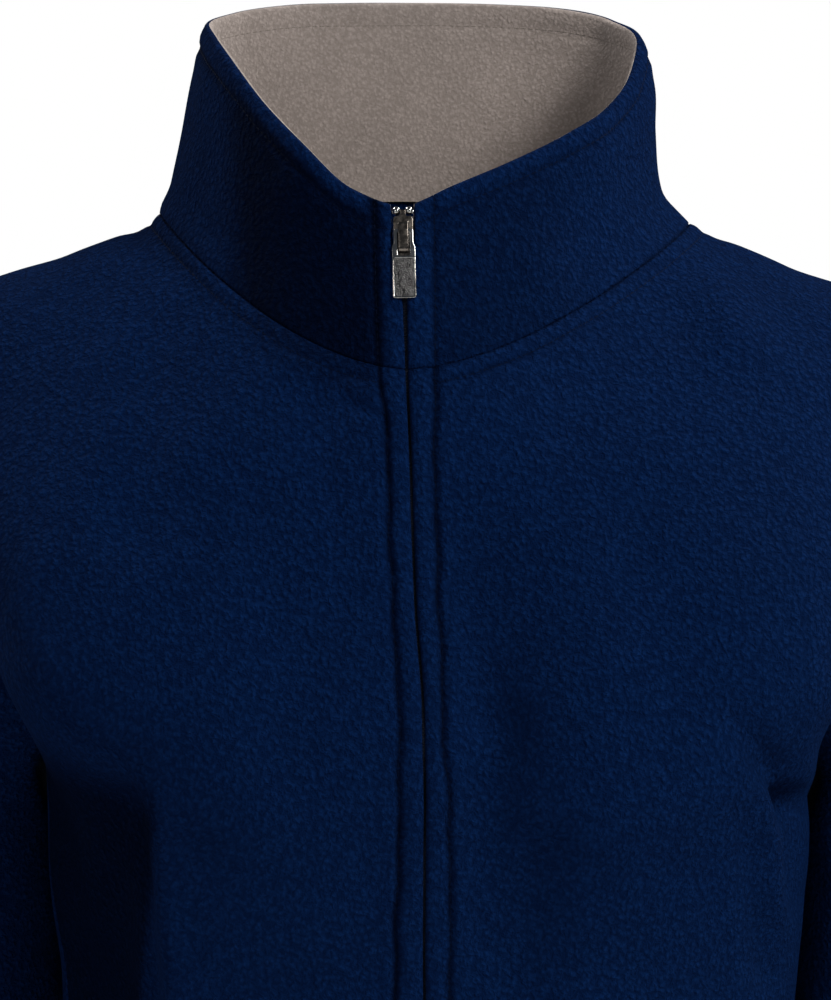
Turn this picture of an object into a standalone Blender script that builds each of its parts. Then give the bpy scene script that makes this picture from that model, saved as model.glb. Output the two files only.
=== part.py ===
"""Fleece zip jacket: the cut cloth pieces and the zip, as closed solids.

Metres, +Z up. The front faces -Y and the wearer's left is +X. The origin is
the centre of the neck, level with the shoulder neck points. Every cloth piece
is a wall between an outer grid, taken from one shared body form, and an inner
grid, so that neighbouring pieces meet along the same seam line.
"""
import math

import bmesh
import bpy
import numpy as np
from mathutils import Matrix, Vector

# ---- driving sizes, metres ----
WALL = 0.0020            # body and sleeve fleece
HEM_EXTRA = 0.0009       # added where the hem and cuffs are turned up
COLLAR_WALL = 0.0016     # each of the collar's two layers
SEAM_GAP = 0.0003        # space between neighbouring pieces
LAYER_GAP = 0.0006       # space between the collar's two layers
TAPE_DEPTH = 0.0027      # from the body's outer face to the tape's face
TAPE_THICK = 0.0010
TAPE_INNER = 0.0030      # from the zip's centre line to the tape's edge
TAPE_WIDTH = 0.0125
CHAIN_HALF = 0.0026
CHAIN_DEPTH = 0.0026
CHAIN_THICK = 0.0016
INNER_DROP = 0.016       # how much lower the inner collar ends, share of its height
INNER_DROP_BACK = 0.014
INNER_EDGE = 0.0046      # inner collar's front edge, from the zip's centre line
COLLAR_TAPE_ROOM = 0.0022
LEAN = 0.016             # the left shoulder hangs a little lower
SOFTENING = 0.8          # rings over which the chest eases into the shoulder
COLLAR_REACH = 0.081     # from the collar's middle to its front, at the top
TAPE_CLEAR = 0.0003      # from the opening's edge to the tape
DEG = math.pi / 180.0

# Body form, hem to neck seam. Heights of the ring at front, side and back,
# half width, depth to the front and back, where its side point lies, and how
# square its front and back halves are.
RING_COLUMNS = ("name", "z_front", "z_side", "z_back", "half_width", "front",
                "back", "y_side", "square_front", "square_back")
RINGS = [
    ("hem", -0.600, -0.600, -0.600, 0.203, 0.126, 0.128, 0.000, 2.25, 2.10),
    ("hip", -0.540, -0.540, -0.540, 0.200, 0.127, 0.131, 0.000, 2.25, 2.05),
    ("high_hip", -0.470, -0.470, -0.470, 0.183, 0.120, 0.121, 0.000, 2.25, 2.00),
    ("waist", -0.395, -0.395, -0.395, 0.160, 0.114, 0.103, 0.000, 2.30, 2.00),
    ("underbust", -0.325, -0.325, -0.325, 0.153, 0.121, 0.108, 0.000, 2.50, 2.00),
    ("bust", -0.262, -0.262, -0.262, 0.159, 0.134, 0.119, 0.001, 2.90, 2.05),
    ("armpit", -0.222, -0.218, -0.216, 0.160, 0.141, 0.122, 0.006, 4.00, 2.15),
    ("arm_low", -0.182, -0.170, -0.170, 0.177, 0.138, 0.121, 0.010, 5.00, 2.20),
    ("arm_high", -0.143, -0.098, -0.112, 0.188, 0.130, 0.112, 0.014, 4.20, 2.15),
    ("tip", -0.115, -0.0330, -0.056, 0.194, 0.122, 0.098, 0.016, 2.50, 1.95),
    ("yoke", -0.087, -0.0120, -0.010, 0.150, 0.114, 0.081, 0.008, 1.88, 1.95),
    ("neck", -0.060, 0.0030, 0.015, 0.1085, 0.105, 0.065, 0.000, 1.70, 2.0),
]
ARMPIT = 6.0
TIP = 9.0
NECK = 11.0

# Armhole: ring number and the angle of its front and back edge, tip to armpit.
ARMHOLE_COLUMNS = ("ring", "front_angle", "back_angle")
ARMHOLE = [
    (9.00, 90.0, 90.0),
    (8.93, 85.0, 97.5),
    (8.72, 80.5, 104.5),
    (8.36, 77.0, 110.5),
    (7.94, 75.0, 114.0),
    (7.50, 74.5, 115.5),
    (7.08, 75.0, 115.0),
    (6.70, 76.5, 112.0),
    (6.36, 79.5, 106.5),
    (6.12, 84.0, 99.0),
    (6.00, 90.0, 90.0),
]

# Centre front line: height and how far it lies from the middle.
FRONT_LINE_COLUMNS = ("z", "x")
FRONT_LINE = [
    (-0.600, 0.0000),
    (-0.300, -0.0010),
    (-0.240, -0.0007),
    (-0.196, -0.0013),
    (-0.153, -0.0044),
    (-0.098, -0.0064),
    (-0.048, -0.0086),
    (0.006, -0.0098),
    (0.120, -0.0098),
]

# Collar's top edge: angle (plus is the wearer's left), position.
# The first and last rows lie a full turn from others, so that the back is smooth.
COLLAR_TOP_COLUMNS = ("angle", "x", "y", "z")
COLLAR_TOP = [
    (-210, 0.0470, 0.0540, 0.0977),
    (-180, 0.0000, 0.0620, 0.0998),
    (-150, -0.0480, 0.0540, 0.0988),
    (-120, -0.0825, 0.0350, 0.0936),
    (-90, -0.0925, 0.0080, 0.0872),
    (-75, -0.0885, -0.0215, 0.0795),
    (-60, -0.0800, -0.0500, 0.0665),
    (-45, -0.0670, -0.0735, 0.0485),
    (-30, -0.0500, -0.0885, 0.0305),
    (-15, -0.0300, -0.0955, 0.0125),
    (0, -0.0098, -0.0970, 0.0060),
    (15, 0.0120, -0.0900, 0.0148),
    (30, 0.0350, -0.0785, 0.0250),
    (45, 0.0560, -0.0635, 0.0360),
    (60, 0.0735, -0.0430, 0.0480),
    (75, 0.0850, -0.0175, 0.0640),
    (90, 0.0892, 0.0060, 0.0805),
    (120, 0.0795, 0.0350, 0.0908),
    (150, 0.0470, 0.0540, 0.0977),
    (180, 0.0000, 0.0620, 0.0998),
    (210, -0.0480, 0.0540, 0.0988),
]
# How far the collar's side stands out from a straight line, seam to top.
COLLAR_SIDE_COLUMNS = ("share", "left", "right")
COLLAR_SIDE = [
    (0.00, 0.0000, 0.0000),
    (0.08, -0.0030, 0.0012),
    (0.20, -0.0064, 0.0012),
    (0.50, -0.0034, 0.0008),
    (0.75, 0.0010, 0.0010),
    (0.90, 0.0016, 0.0010),
    (1.00, 0.0000, 0.0000),
]
# Half the opening between the two front edges, by distance below the top.
EDGE_COLUMNS = ("below_top", "half_open")
EDGES = [
    (0.000, 0.0050),
    (0.010, 0.0046),
    (0.021, 0.0042),
    (0.025, 0.0030),
    (0.030, 0.0013),
    (0.036, 0.0007),
    (1.000, 0.0007),
]

# Sleeve tube: share of its length, centre, half width and half depth, and
# how much higher its outer side is than its middle.
SLEEVE_COLUMNS = ("name", "share", "x", "y", "z", "wide", "deep", "slant")
SLEEVE = [
    ("bicep", 0.30, 0.2110, 0.045, -0.240, 0.0580, 0.060, 0.024),
    ("upper", 0.45, 0.2040, 0.049, -0.325, 0.0545, 0.057, 0.010),
    ("elbow", 0.60, 0.2180, 0.044, -0.405, 0.0500, 0.054, 0.002),
    ("forearm", 0.75, 0.2400, 0.034, -0.485, 0.0470, 0.050, 0.002),
    ("wrist", 0.90, 0.2530, 0.024, -0.570, 0.0430, 0.046, 0.005),
    ("cuff", 1.00, 0.2600, 0.016, -0.632, 0.0410, 0.043, 0.006),
]
# Directions in which the sleeve leaves the armhole.
SLEEVE_START = {"top": (0.93, 0.0, -0.37), "front": (0.82, 0.10, -0.56),
                "under": (0.45, 0.35, -0.82), "back": (0.80, 0.25, -0.55)}

# Largest soft folds of the body, on the front or back face as seen from it:
# end points, half width, height at either end (minus is a trough).
FOLDS = [
    ("bust_right", 1, -0.072, -0.205, -0.066, -0.222, 0.046, 0.009, 0.009),
    ("bust_left", 1, 0.082, -0.202, 0.076, -0.222, 0.048, 0.009, 0.009),
    ("under_arm_right", 1, -0.130, -0.238, -0.140, -0.340, 0.018, -0.014, -0.012),
    ("under_arm_right_low", 1, -0.142, -0.340, -0.128, -0.455, 0.018, -0.009, -0.002),
    ("beside_arm_right", 1, -0.150, -0.245, -0.152, -0.370, 0.022, -0.012, -0.008),
    ("by_zip_left", 1, 0.014, -0.130, 0.030, -0.285, 0.024, -0.003, -0.005),
    ("waist_left", 1, 0.135, -0.345, 0.060, -0.410, 0.020, -0.004, -0.002),
    ("waist_right", 1, -0.120, -0.395, -0.050, -0.440, 0.022, -0.004, -0.002),
    ("hip_left", 1, 0.150, -0.430, 0.105, -0.545, 0.024, -0.005, -0.001),
    ("hip_right", 1, -0.085, -0.455, -0.100, -0.575, 0.024, -0.003, -0.004),
    ("back_waist", -1, -0.080, -0.385, 0.070, -0.392, 0.020, -0.004, -0.005),
    ("back_waist_low", -1, -0.030, -0.432, 0.110, -0.422, 0.020, -0.002, -0.004),
    ("back_arm_left", -1, 0.130, -0.190, 0.085, -0.300, 0.022, -0.005, -0.002),
    ("back_arm_right", -1, -0.130, -0.200, -0.095, -0.290, 0.022, -0.005, -0.001),
    ("back_middle", -1, 0.000, -0.200, 0.004, -0.350, 0.026, -0.003, -0.002),
]
# Sleeve folds: angle round the sleeve (0 outside, 90 front, 180 inside) and
# share of its length at either end, half width and heights.
SLEEVE_FOLDS = [
    (1, 200, 0.545, 95, 0.590, 0.012, -0.005, -0.002),
    (1, 195, 0.620, 80, 0.640, 0.012, -0.006, -0.001),
    (1, 200, 0.700, 120, 0.720, 0.012, -0.004, -0.001),
    (1, 250, 0.330, 300, 0.460, 0.015, -0.004, -0.001),
    (1, 100, 0.340, 60, 0.480, 0.015, -0.003, -0.001),
    (-1, 190, 0.560, 110, 0.575, 0.012, -0.006, -0.002),
    (-1, 205, 0.650, 90, 0.625, 0.012, -0.005, -0.001),
    (-1, 190, 0.745, 130, 0.770, 0.012, -0.003, -0.001),
    (-1, 245, 0.350, 290, 0.490, 0.015, -0.004, -0.002),
    (-1, 110, 0.360, 75, 0.450, 0.015, -0.003, -0.001),
]
FOREARM_GIRTH = 0.052
SLEEVE_LENGTH = 0.600

# Grid rows and columns.
BODY_ROWS = [0.0, 0.30, 0.65, 1.0, 1.5, 2.0, 2.4, 2.7, 3.0, 3.35, 3.7, 4.0, 4.35,
             4.7, 5.0, 5.35, 5.7]
YOKE_ROWS = [9.35, 9.7, 10.0, 10.35, 10.7, 11.0]
FRONT_SHARES = [0.0, 0.11, 0.20, 0.29, 0.38, 0.47, 0.56, 0.65, 0.74, 0.82, 0.89,
                0.95, 1.0]
BACK_COLUMNS = 22
CAP_ROWS = [0.0, 0.07, 0.18, 0.34, 0.52, 0.70, 0.86, 1.0]
TUBE_ROWS = [0.36, 0.42, 0.48, 0.535, 0.575, 0.615, 0.655, 0.70, 0.75, 0.82, 0.90,
             0.97, 1.0]
COLLAR_ROWS = [0.0, 0.12, 0.28, 0.46, 0.64, 0.82, 1.0]

# Zip hardware.
SLIDER_WIDE = 0.0080
SLIDER_FOOT = 0.0064
SLIDER_FRONT = 0.0005    # in front of the cloth's outer face
SLIDER_BACK = -0.0044
SLIDER_TOP = -0.0061     # along the zip, measured up from the hinge axis
SLIDER_BOTTOM = 0.0103
BRIDGE_WIDE = 0.0040
BRIDGE_TOP = -0.0034
BRIDGE_BOTTOM = 0.0090
BRIDGE_UNDER = 0.0025
BRIDGE_OUT = 0.0035
BRIDGE_FOOT = 0.0012
PULL_PIN_OUT = 0.0015    # hinge axis in front of the cloth
PULL_THICK = 0.0012
PULL_TOP_WIDE = 0.0080
PULL_WIDE = 0.0095
PULL_LENGTH = 0.0280
WINDOW_WIDE = 0.0048
WINDOW_END = 0.0102
PLATE_RECESS = 0.0003
STOP_RADIUS = 0.0017
STOP_APART = 0.00254
AXIS_BELOW_TOP = 0.0108  # hinge axis below the collar's top, along the zip
BOX_TOP = -0.5885
TAPE_ROWS_FROM = 0.18


def column(table, columns, name):
    """Returns one named column of a table as an array."""
    index = columns.index(name)
    return np.array([row[index] for row in table], dtype=float)


def smooth(knots, values, at):
    """Returns a smooth curve through (knots, values) that doesn't overshoot."""
    step = np.diff(knots)
    slope = np.diff(values) / step
    tangent = np.zeros(len(values))
    tangent[0] = slope[0]
    tangent[-1] = slope[-1]
    for k in range(1, len(values) - 1):
        if slope[k - 1] * slope[k] > 0.0:
            one = 2.0 * step[k] + step[k - 1]
            two = step[k] + 2.0 * step[k - 1]
            tangent[k] = (one + two) / (one / slope[k - 1] + two / slope[k])
    at = np.clip(np.asarray(at, dtype=float), knots[0], knots[-1])
    k = np.clip(np.searchsorted(knots, at, side="right") - 1, 0, len(step) - 1)
    t = (at - knots[k]) / step[k]
    return ((2 * t**3 - 3 * t**2 + 1) * values[k]
            + (t**3 - 2 * t**2 + t) * step[k] * tangent[k]
            + (3 * t**2 - 2 * t**3) * values[k + 1]
            + (t**3 - t**2) * step[k] * tangent[k + 1])


def ease(low, high, at):
    """Returns 0 below low, 1 above high, and a soft change between."""
    t = np.clip((at - low) / (high - low), 0.0, 1.0)
    return t * t * (3.0 - 2.0 * t)


def unit(vectors):
    """Returns vectors of length one."""
    size = np.linalg.norm(vectors, axis=-1, keepdims=True)
    return vectors / np.maximum(size, 1e-12)


def front_line(z):
    """Returns where the centre front line lies at a height."""
    return smooth(column(FRONT_LINE, FRONT_LINE_COLUMNS, "z"),
                  column(FRONT_LINE, FRONT_LINE_COLUMNS, "x"), z)


def half_open(below_top):
    """Returns half the opening between the front edges."""
    return smooth(column(EDGES, EDGE_COLUMNS, "below_top"),
                  column(EDGES, EDGE_COLUMNS, "half_open"), below_top)


def ring_value(name, ring):
    """Returns one column of the body table at a ring number."""
    knots = np.arange(len(RINGS), dtype=float)
    return smooth(knots, column(RINGS, RING_COLUMNS, name), ring)


def body_plain(angle, ring):
    """Returns the body form's points, straight from its table."""
    sine = np.sin(angle)
    cosine = np.cos(angle)
    y_side = ring_value("y_side", ring)
    depth = np.where(cosine >= 0.0, ring_value("front", ring) + y_side,
                     ring_value("back", ring) - y_side)
    power = np.where(cosine >= 0.0, ring_value("square_front", ring),
                     ring_value("square_back", ring))
    wide = ring_value("half_width", ring)
    reach = ((np.abs(sine) / wide)**power + (np.abs(cosine) / depth)**power)**(-1.0 / power)
    x = reach * sine
    y = y_side - reach * cosine
    share = np.clip(np.abs(reach * cosine) / depth, 0.0, 1.0)
    end = np.where(cosine >= 0.0, ring_value("z_front", ring), ring_value("z_back", ring))
    side = ring_value("z_side", ring)
    z = side + (end - side) * share**1.6
    z = z - LEAN * x * ease(-0.22, -0.06, z)
    x = x + front_line(z) * np.clip(cosine, 0.0, 1.0)**2
    return np.stack([x, y, z], axis=-1)


def body_base(angle, ring):
    """Returns the body form with the chest eased into the shoulder."""
    spread = (SOFTENING * ease(7.4, 8.6, ring) * (1.0 - ease(9.6, 10.8, ring))
              * (1.0 - ease(0.90, 0.995, np.abs(np.sin(angle)))))
    return (0.5 * body_plain(angle, ring) + 0.25 * body_plain(angle, ring - spread)
            + 0.25 * body_plain(angle, ring + spread))


def line_height(u, v, u0, v0, u1, v1, half, h0, h1):
    """Returns the height of a soft ridge along a line, at (u, v)."""
    du = u1 - u0
    dv = v1 - v0
    along = np.clip(((u - u0) * du + (v - v0) * dv) / (du * du + dv * dv), 0.0, 1.0)
    away = np.hypot(u - u0 - along * du, v - v0 - along * dv)
    return (h0 + (h1 - h0) * along) * np.exp(-(away / half)**2)


def surface_normal(form, angle, ring, flip=1.0):
    """Returns the outward normals of a form of two numbers."""
    step = 1e-3
    across = form(angle + step, ring) - form(angle - step, ring)
    up = form(angle, ring + step) - form(angle, ring - step)
    return flip * unit(np.cross(across, up))


def body_form(angle, ring):
    """Returns the body's outer face, with its folds."""
    base = body_base(angle, ring)
    cosine = np.cos(angle)
    height = np.zeros(np.shape(angle))
    for _, face, x0, z0, x1, z1, half, h0, h1 in FOLDS:
        facing = ease(-0.10, 0.25, cosine * face)
        height = height + facing * line_height(base[..., 0], base[..., 2],
                                               x0, z0, x1, z1, half, h0, h1)
    height = height * (1.0 - ease(10.2, 11.0, ring))
    low = np.minimum(ring, NECK - 0.002)
    return base + surface_normal(body_base, angle, low) * height[..., None]


def body_normal(angle, ring):
    """Returns the outward normals of the folded body."""
    ring = np.clip(ring, 0.002, NECK - 0.002)
    return surface_normal(body_form, angle, ring)


def armhole(turn):
    """Returns ring number and angle on the armhole, by turn round the sleeve."""
    knots = np.linspace(0.0, math.pi, len(ARMHOLE))
    turn = np.mod(turn, 2.0 * math.pi)
    front = turn <= math.pi
    place = np.where(front, turn, 2.0 * math.pi - turn)
    ring = smooth(knots, column(ARMHOLE, ARMHOLE_COLUMNS, "ring"), place)
    angle_front = smooth(knots, column(ARMHOLE, ARMHOLE_COLUMNS, "front_angle"), place)
    angle_back = smooth(knots, column(ARMHOLE, ARMHOLE_COLUMNS, "back_angle"), place)
    return ring, np.where(front, angle_front, angle_back) * DEG


def sleeve_value(name, share):
    """Returns one column of the sleeve table at a share of its length."""
    return smooth(column(SLEEVE, SLEEVE_COLUMNS, "share"),
                  column(SLEEVE, SLEEVE_COLUMNS, name), share)


def sleeve_tube(turn, share, side):
    """Returns points on the sleeve's tube, below the bicep."""
    x = sleeve_value("x", share) + sleeve_value("wide", share) * np.cos(turn)
    y = sleeve_value("y", share) - sleeve_value("deep", share) * np.sin(turn)
    z = sleeve_value("z", share) + sleeve_value("slant", share) * np.cos(turn)
    return np.stack([side * x, y, z - side * LEAN * 0.2 * np.ones_like(x)], axis=-1)


def sleeve_start(turn, side):
    """Returns the directions in which the sleeve leaves the armhole."""
    weights = {"top": np.clip(np.cos(turn), 0, 1)**2,
               "front": np.clip(np.sin(turn), 0, 1)**2,
               "under": np.clip(-np.cos(turn), 0, 1)**2,
               "back": np.clip(-np.sin(turn), 0, 1)**2}
    way = sum(weights[name][..., None] * np.array(SLEEVE_START[name]) for name in weights)
    return unit(way * np.array([side, 1.0, 1.0]))


def sleeve_base(turn, share, side):
    """Returns the sleeve's points, cap and tube, without folds."""
    first = SLEEVE[0][1]
    ring, angle = armhole(turn)
    start = body_form(side * angle, ring)
    end = sleeve_tube(turn, np.full(np.shape(turn), first), side)
    after = sleeve_tube(turn, np.full(np.shape(turn), first + 0.01), side)
    reach = np.linalg.norm(end - start, axis=-1, keepdims=True)
    way = sleeve_start(turn, side) * reach
    way_end = unit(after - end) * reach
    t = np.clip(share / first, 0.0, 1.0)[..., None]
    cap = ((2 * t**3 - 3 * t**2 + 1) * start + (t**3 - 2 * t**2 + t) * way
           + (3 * t**2 - 2 * t**3) * end + (t**3 - t**2) * way_end)
    tube = sleeve_tube(turn, np.maximum(share, first), side)
    return np.where((share < first)[..., None], cap, tube)


def sleeve_form(turn, share, side):
    """Returns the sleeve's outer face, with its folds."""
    base = sleeve_base(turn, share, side)
    round_place = np.mod(turn, 2.0 * math.pi) * FOREARM_GIRTH
    long_place = share * SLEEVE_LENGTH
    height = np.zeros(np.shape(turn))
    for which, a0, s0, a1, s1, half, h0, h1 in SLEEVE_FOLDS:
        if which != side:
            continue
        height = height + line_height(round_place, long_place, a0 * DEG * FOREARM_GIRTH,
                                      s0 * SLEEVE_LENGTH, a1 * DEG * FOREARM_GIRTH,
                                      s1 * SLEEVE_LENGTH, half, h0, h1)
    normal = surface_normal(lambda a, s: sleeve_base(a, s, side), turn,
                            np.clip(share, 0.004, 0.996), side)
    return base + normal * (height * ease(0.02, 0.12, share))[..., None]


def sleeve_normal(turn, share, side):
    """Returns the outward normals of the folded sleeve."""
    return surface_normal(lambda a, s: sleeve_form(a, s, side), turn,
                          np.clip(share, 0.004, 0.996), side)


def collar_top(angle):
    """Returns points on the collar's top edge."""
    turn = (np.mod(angle / DEG + 180.0, 360.0)) - 180.0
    knots = column(COLLAR_TOP, COLLAR_TOP_COLUMNS, "angle")
    return np.stack([smooth(knots, column(COLLAR_TOP, COLLAR_TOP_COLUMNS, name), turn)
                     for name in ("x", "y", "z")], axis=-1)


def collar_form(angle, share):
    """Returns the collar's outer face, from the neck seam (0) to its top (1)."""
    low = body_form(angle, np.full(np.shape(angle), NECK))
    high = collar_top(angle)
    part = np.asarray(share)[..., None]
    points = low * (1.0 - part) + high * part
    knots = column(COLLAR_SIDE, COLLAR_SIDE_COLUMNS, "share")
    left = smooth(knots, column(COLLAR_SIDE, COLLAR_SIDE_COLUMNS, "left"), share)
    right = smooth(knots, column(COLLAR_SIDE, COLLAR_SIDE_COLUMNS, "right"), share)
    sine = np.sin(angle)
    out = np.where(sine > 0.0, left, right) * sine**2
    points[..., 0] = points[..., 0] + out * np.sign(sine)
    return points


def collar_normal(angle, share):
    """Returns the collar's outward normals."""
    return surface_normal(collar_form, angle, np.clip(share, 0.004, 0.996))


def mitre(one, two, wall):
    """Returns the shared inward offset where two walls meet along a seam."""
    middle = unit(one + two)
    lean = np.maximum(np.sum(middle * one, axis=-1, keepdims=True), 0.40)
    return middle * (-wall / lean), middle


def build_shell(name, outer, inner, closed, material):
    """Makes one closed wall between two grids of points.

    Rows run along the first index. A closed grid joins its last column to
    its first.
    """
    rows, columns = outer.shape[:2]
    mesh = bpy.data.meshes.new(name)
    points = np.concatenate([outer.reshape(-1, 3), inner.reshape(-1, 3)])
    shift = rows * columns
    faces = []
    spans = columns if closed else columns - 1
    for j in range(rows - 1):
        for i in range(spans):
            k = (i + 1) % columns
            a = j * columns + i
            b = j * columns + k
            c = (j + 1) * columns + k
            d = (j + 1) * columns + i
            faces.append((a, b, c, d))
            faces.append((shift + d, shift + c, shift + b, shift + a))
    for i in range(spans):
        k = (i + 1) % columns
        faces.append((i, shift + i, shift + k, k))
        top = (rows - 1) * columns
        faces.append((top + k, shift + top + k, shift + top + i, top + i))
    if not closed:
        for j in range(rows - 1):
            a = j * columns
            d = (j + 1) * columns
            faces.append((a, d, shift + d, shift + a))
            b = a + columns - 1
            c = d + columns - 1
            faces.append((b, shift + b, shift + c, c))
    mesh.from_pydata([tuple(p) for p in points], [], faces)
    return finish_mesh(name, mesh, material)


def finish_mesh(name, mesh, material):
    """Turns the faces outwards, triangulates and links the object."""
    work = bmesh.new()
    work.from_mesh(mesh)
    bmesh.ops.recalc_face_normals(work, faces=work.faces)
    bmesh.ops.triangulate(work, faces=work.faces, quad_method="SHORT_EDGE")
    work.to_mesh(mesh)
    work.free()
    mesh.materials.append(material)
    item = bpy.data.objects.new(name, mesh)
    JACKET.objects.link(item)
    return item


def make_material(name, colour, roughness, metallic):
    """Returns a Principled material."""
    material = bpy.data.materials.new(name)
    material.use_nodes = True
    shader = material.node_tree.nodes["Principled BSDF"]
    shader.inputs["Base Color"].default_value = (*colour, 1.0)
    shader.inputs["Roughness"].default_value = roughness
    shader.inputs["Metallic"].default_value = metallic
    return material


def armhole_rows():
    """Returns the ring numbers of the armhole, armpit to tip."""
    return list(column(ARMHOLE, ARMHOLE_COLUMNS, "ring")[::-1])


def all_body_rows():
    """Returns every ring number of the body's grids."""
    return np.array(BODY_ROWS + armhole_rows() + YOKE_ROWS)


def wall_at(ring):
    """Returns the body's wall, thicker where the hem is turned up."""
    return WALL + HEM_EXTRA * (1.0 - ease(0.25, 0.55, ring))


def edge_angle(ring, side):
    """Returns the angle of a front panel's zip edge."""
    reach = ring_value("front", ring) + ring_value("y_side", ring)
    return side * half_open(np.full(np.shape(ring), 0.5)) / reach


def neck_angles():
    """Returns the collar's columns, once round from the left edge to the right."""
    start = float(edge_angle(np.array(NECK), 1.0))
    left = start + np.array(FRONT_SHARES) * (math.pi / 2 - start)
    back = np.linspace(math.pi / 2, 1.5 * math.pi, BACK_COLUMNS + 1)[1:-1]
    right = 2.0 * math.pi - left[::-1]
    return np.concatenate([left, back, right])


def cloth_offsets(angle, ring, wall):
    """Returns the plain inward offset of the body's wall."""
    return -body_normal(angle, ring) * wall[..., None]


def seam_frame(turn, side):
    """Returns armhole points, shared offset and direction towards the sleeve."""
    ring, angle = armhole(turn)
    angle = side * angle
    points = body_form(angle, ring)
    body = body_normal(angle, ring)
    cloth = sleeve_normal(turn, np.full(np.shape(turn), 0.004), side)
    offset, middle = mitre(body, cloth, WALL)
    step = 0.02
    ring_a, angle_a = armhole(turn + step)
    ring_b, angle_b = armhole(turn - step)
    along = unit(body_form(side * angle_a, ring_a) - body_form(side * angle_b, ring_b))
    across = unit(np.cross(along, middle))
    towards = np.sum(across * sleeve_start(turn, side), axis=-1, keepdims=True)
    across = across * np.where(towards < 0.0, -1.0, 1.0)
    return points, offset, across


def armhole_turn(face):
    """Returns turns round the sleeve at the armhole rows, armpit to tip."""
    turns = np.linspace(math.pi, 0.0, len(ARMHOLE))
    return turns if face > 0 else 2.0 * math.pi - turns


def neck_frame(angle):
    """Returns neck seam points, shared offset and direction up the collar."""
    points = body_form(angle, np.full(np.shape(angle), NECK))
    body = body_normal(angle, np.full(np.shape(angle), NECK))
    cloth = collar_normal(angle, np.zeros(np.shape(angle)))
    offset, middle = mitre(body, cloth, WALL)
    step = 0.01
    ring = np.full(np.shape(angle), NECK)
    along = unit(body_form(angle + step, ring) - body_form(angle - step, ring))
    across = unit(np.cross(along, middle))
    across = across * np.where(across[..., 2:] < 0.0, -1.0, 1.0)
    return points, offset, across


def panel_grids(side, face):
    """Returns a body panel's outer and inner grids.

    side is 1 or -1 for a front. face is 1 for a front and -1 for the back,
    which runs from one side seam round to the other.
    """
    rows = all_body_rows()
    knots_ring = column(ARMHOLE, ARMHOLE_COLUMNS, "ring")[::-1]
    name = "front_angle" if face > 0 else "back_angle"
    knots_angle = column(ARMHOLE, ARMHOLE_COLUMNS, name)[::-1] * DEG
    edge = np.where((rows > ARMPIT) & (rows < TIP),
                    np.interp(rows, knots_ring, knots_angle), math.pi / 2)
    if face > 0:
        start = edge_angle(rows, 1.0)
        share = np.array(FRONT_SHARES)
        angle = side * (start[:, None] + share[None, :] * (edge - start)[:, None])
    else:
        share = np.linspace(0.0, 1.0, BACK_COLUMNS + 1)
        angle = edge[:, None] + share[None, :] * (2.0 * math.pi - 2.0 * edge)[:, None]
    ring = np.repeat(rows[:, None], angle.shape[1], axis=1)
    outer = body_form(angle, ring)
    offset = cloth_offsets(angle, ring, wall_at(ring))
    inner = outer + offset
    low = len(BODY_ROWS)
    high = low + len(ARMHOLE)
    ends = [(-1, side)] if face > 0 else [(0, 1), (-1, -1)]
    for end, which in ends:
        turn = armhole_turn(face)
        points, shared, across = seam_frame(turn, which)
        move = across * (-SEAM_GAP / 2)
        outer[low:high, end] = points + move
        inner[low:high, end] = points + move + shared
        seam = [j for j in range(len(rows)) if j < low or j >= high]
        seam = seam + [low, high - 1]
        step = outer[:, end - 1 if end == -1 else 1] - outer[:, end]
        inward = unit(step)
        for j in seam:
            normal = unit(offset[j, end])
            flat = inward[j] - normal * np.dot(inward[j], normal)
            flat = flat / np.linalg.norm(flat) * (SEAM_GAP / 2)
            outer[j, end] = outer[j, end] + flat
            inner[j, end] = inner[j, end] + flat
    points, shared, across = neck_frame(angle[-1])
    keep = outer[-1] - body_form(angle[-1], ring[-1])
    outer[-1] = points - across * (SEAM_GAP / 2) + keep
    inner[-1] = outer[-1] + shared
    return outer, inner


def sleeve_grids(side):
    """Returns a sleeve's outer and inner grids, from the armhole to the cuff."""
    front = armhole_turn(1.0)[::-1]
    back = armhole_turn(-1.0)[1:-1]
    turn = np.concatenate([front, back])
    first = SLEEVE[0][1]
    share = np.array([first * s for s in CAP_ROWS] + TUBE_ROWS)
    turns = np.repeat(turn[None, :], len(share), axis=0)
    shares = np.repeat(share[:, None], len(turn), axis=1)
    outer = sleeve_form(turns, shares, side)
    wall = WALL + HEM_EXTRA * ease(0.94, 0.96, shares)
    inner = outer - sleeve_normal(turns, shares, side) * wall[..., None]
    points, shared, across = seam_frame(turn, side)
    outer[0] = points + across * (SEAM_GAP / 2)
    inner[0] = outer[0] + shared
    return outer, inner


def front_height():
    """Returns the collar's height at centre front."""
    top = collar_form(np.array([0.0]), np.array([1.0]))
    return float(np.linalg.norm(top - collar_form(np.array([0.0]), np.array([0.0]))))


def collar_angles(share, inner_layer):
    """Returns the collar's column angles at each row."""
    base = neck_angles()
    reach = ring_value("front", NECK) * (1.0 - share) + COLLAR_REACH * share
    opening = half_open((1.0 - share) * front_height())
    if inner_layer:
        opening = np.maximum(opening + 0.0002, INNER_EDGE)
    start = opening / reach
    was = base[0]
    part = np.minimum(base, 2.0 * math.pi - base)
    part = np.clip((part - was) / (math.pi / 2 - was), 0.0, 1.0)
    shift = (start[:, None] - was) * (1.0 - part[None, :])
    return base[None, :] + np.where(base[None, :] < math.pi, shift, -shift)


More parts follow.
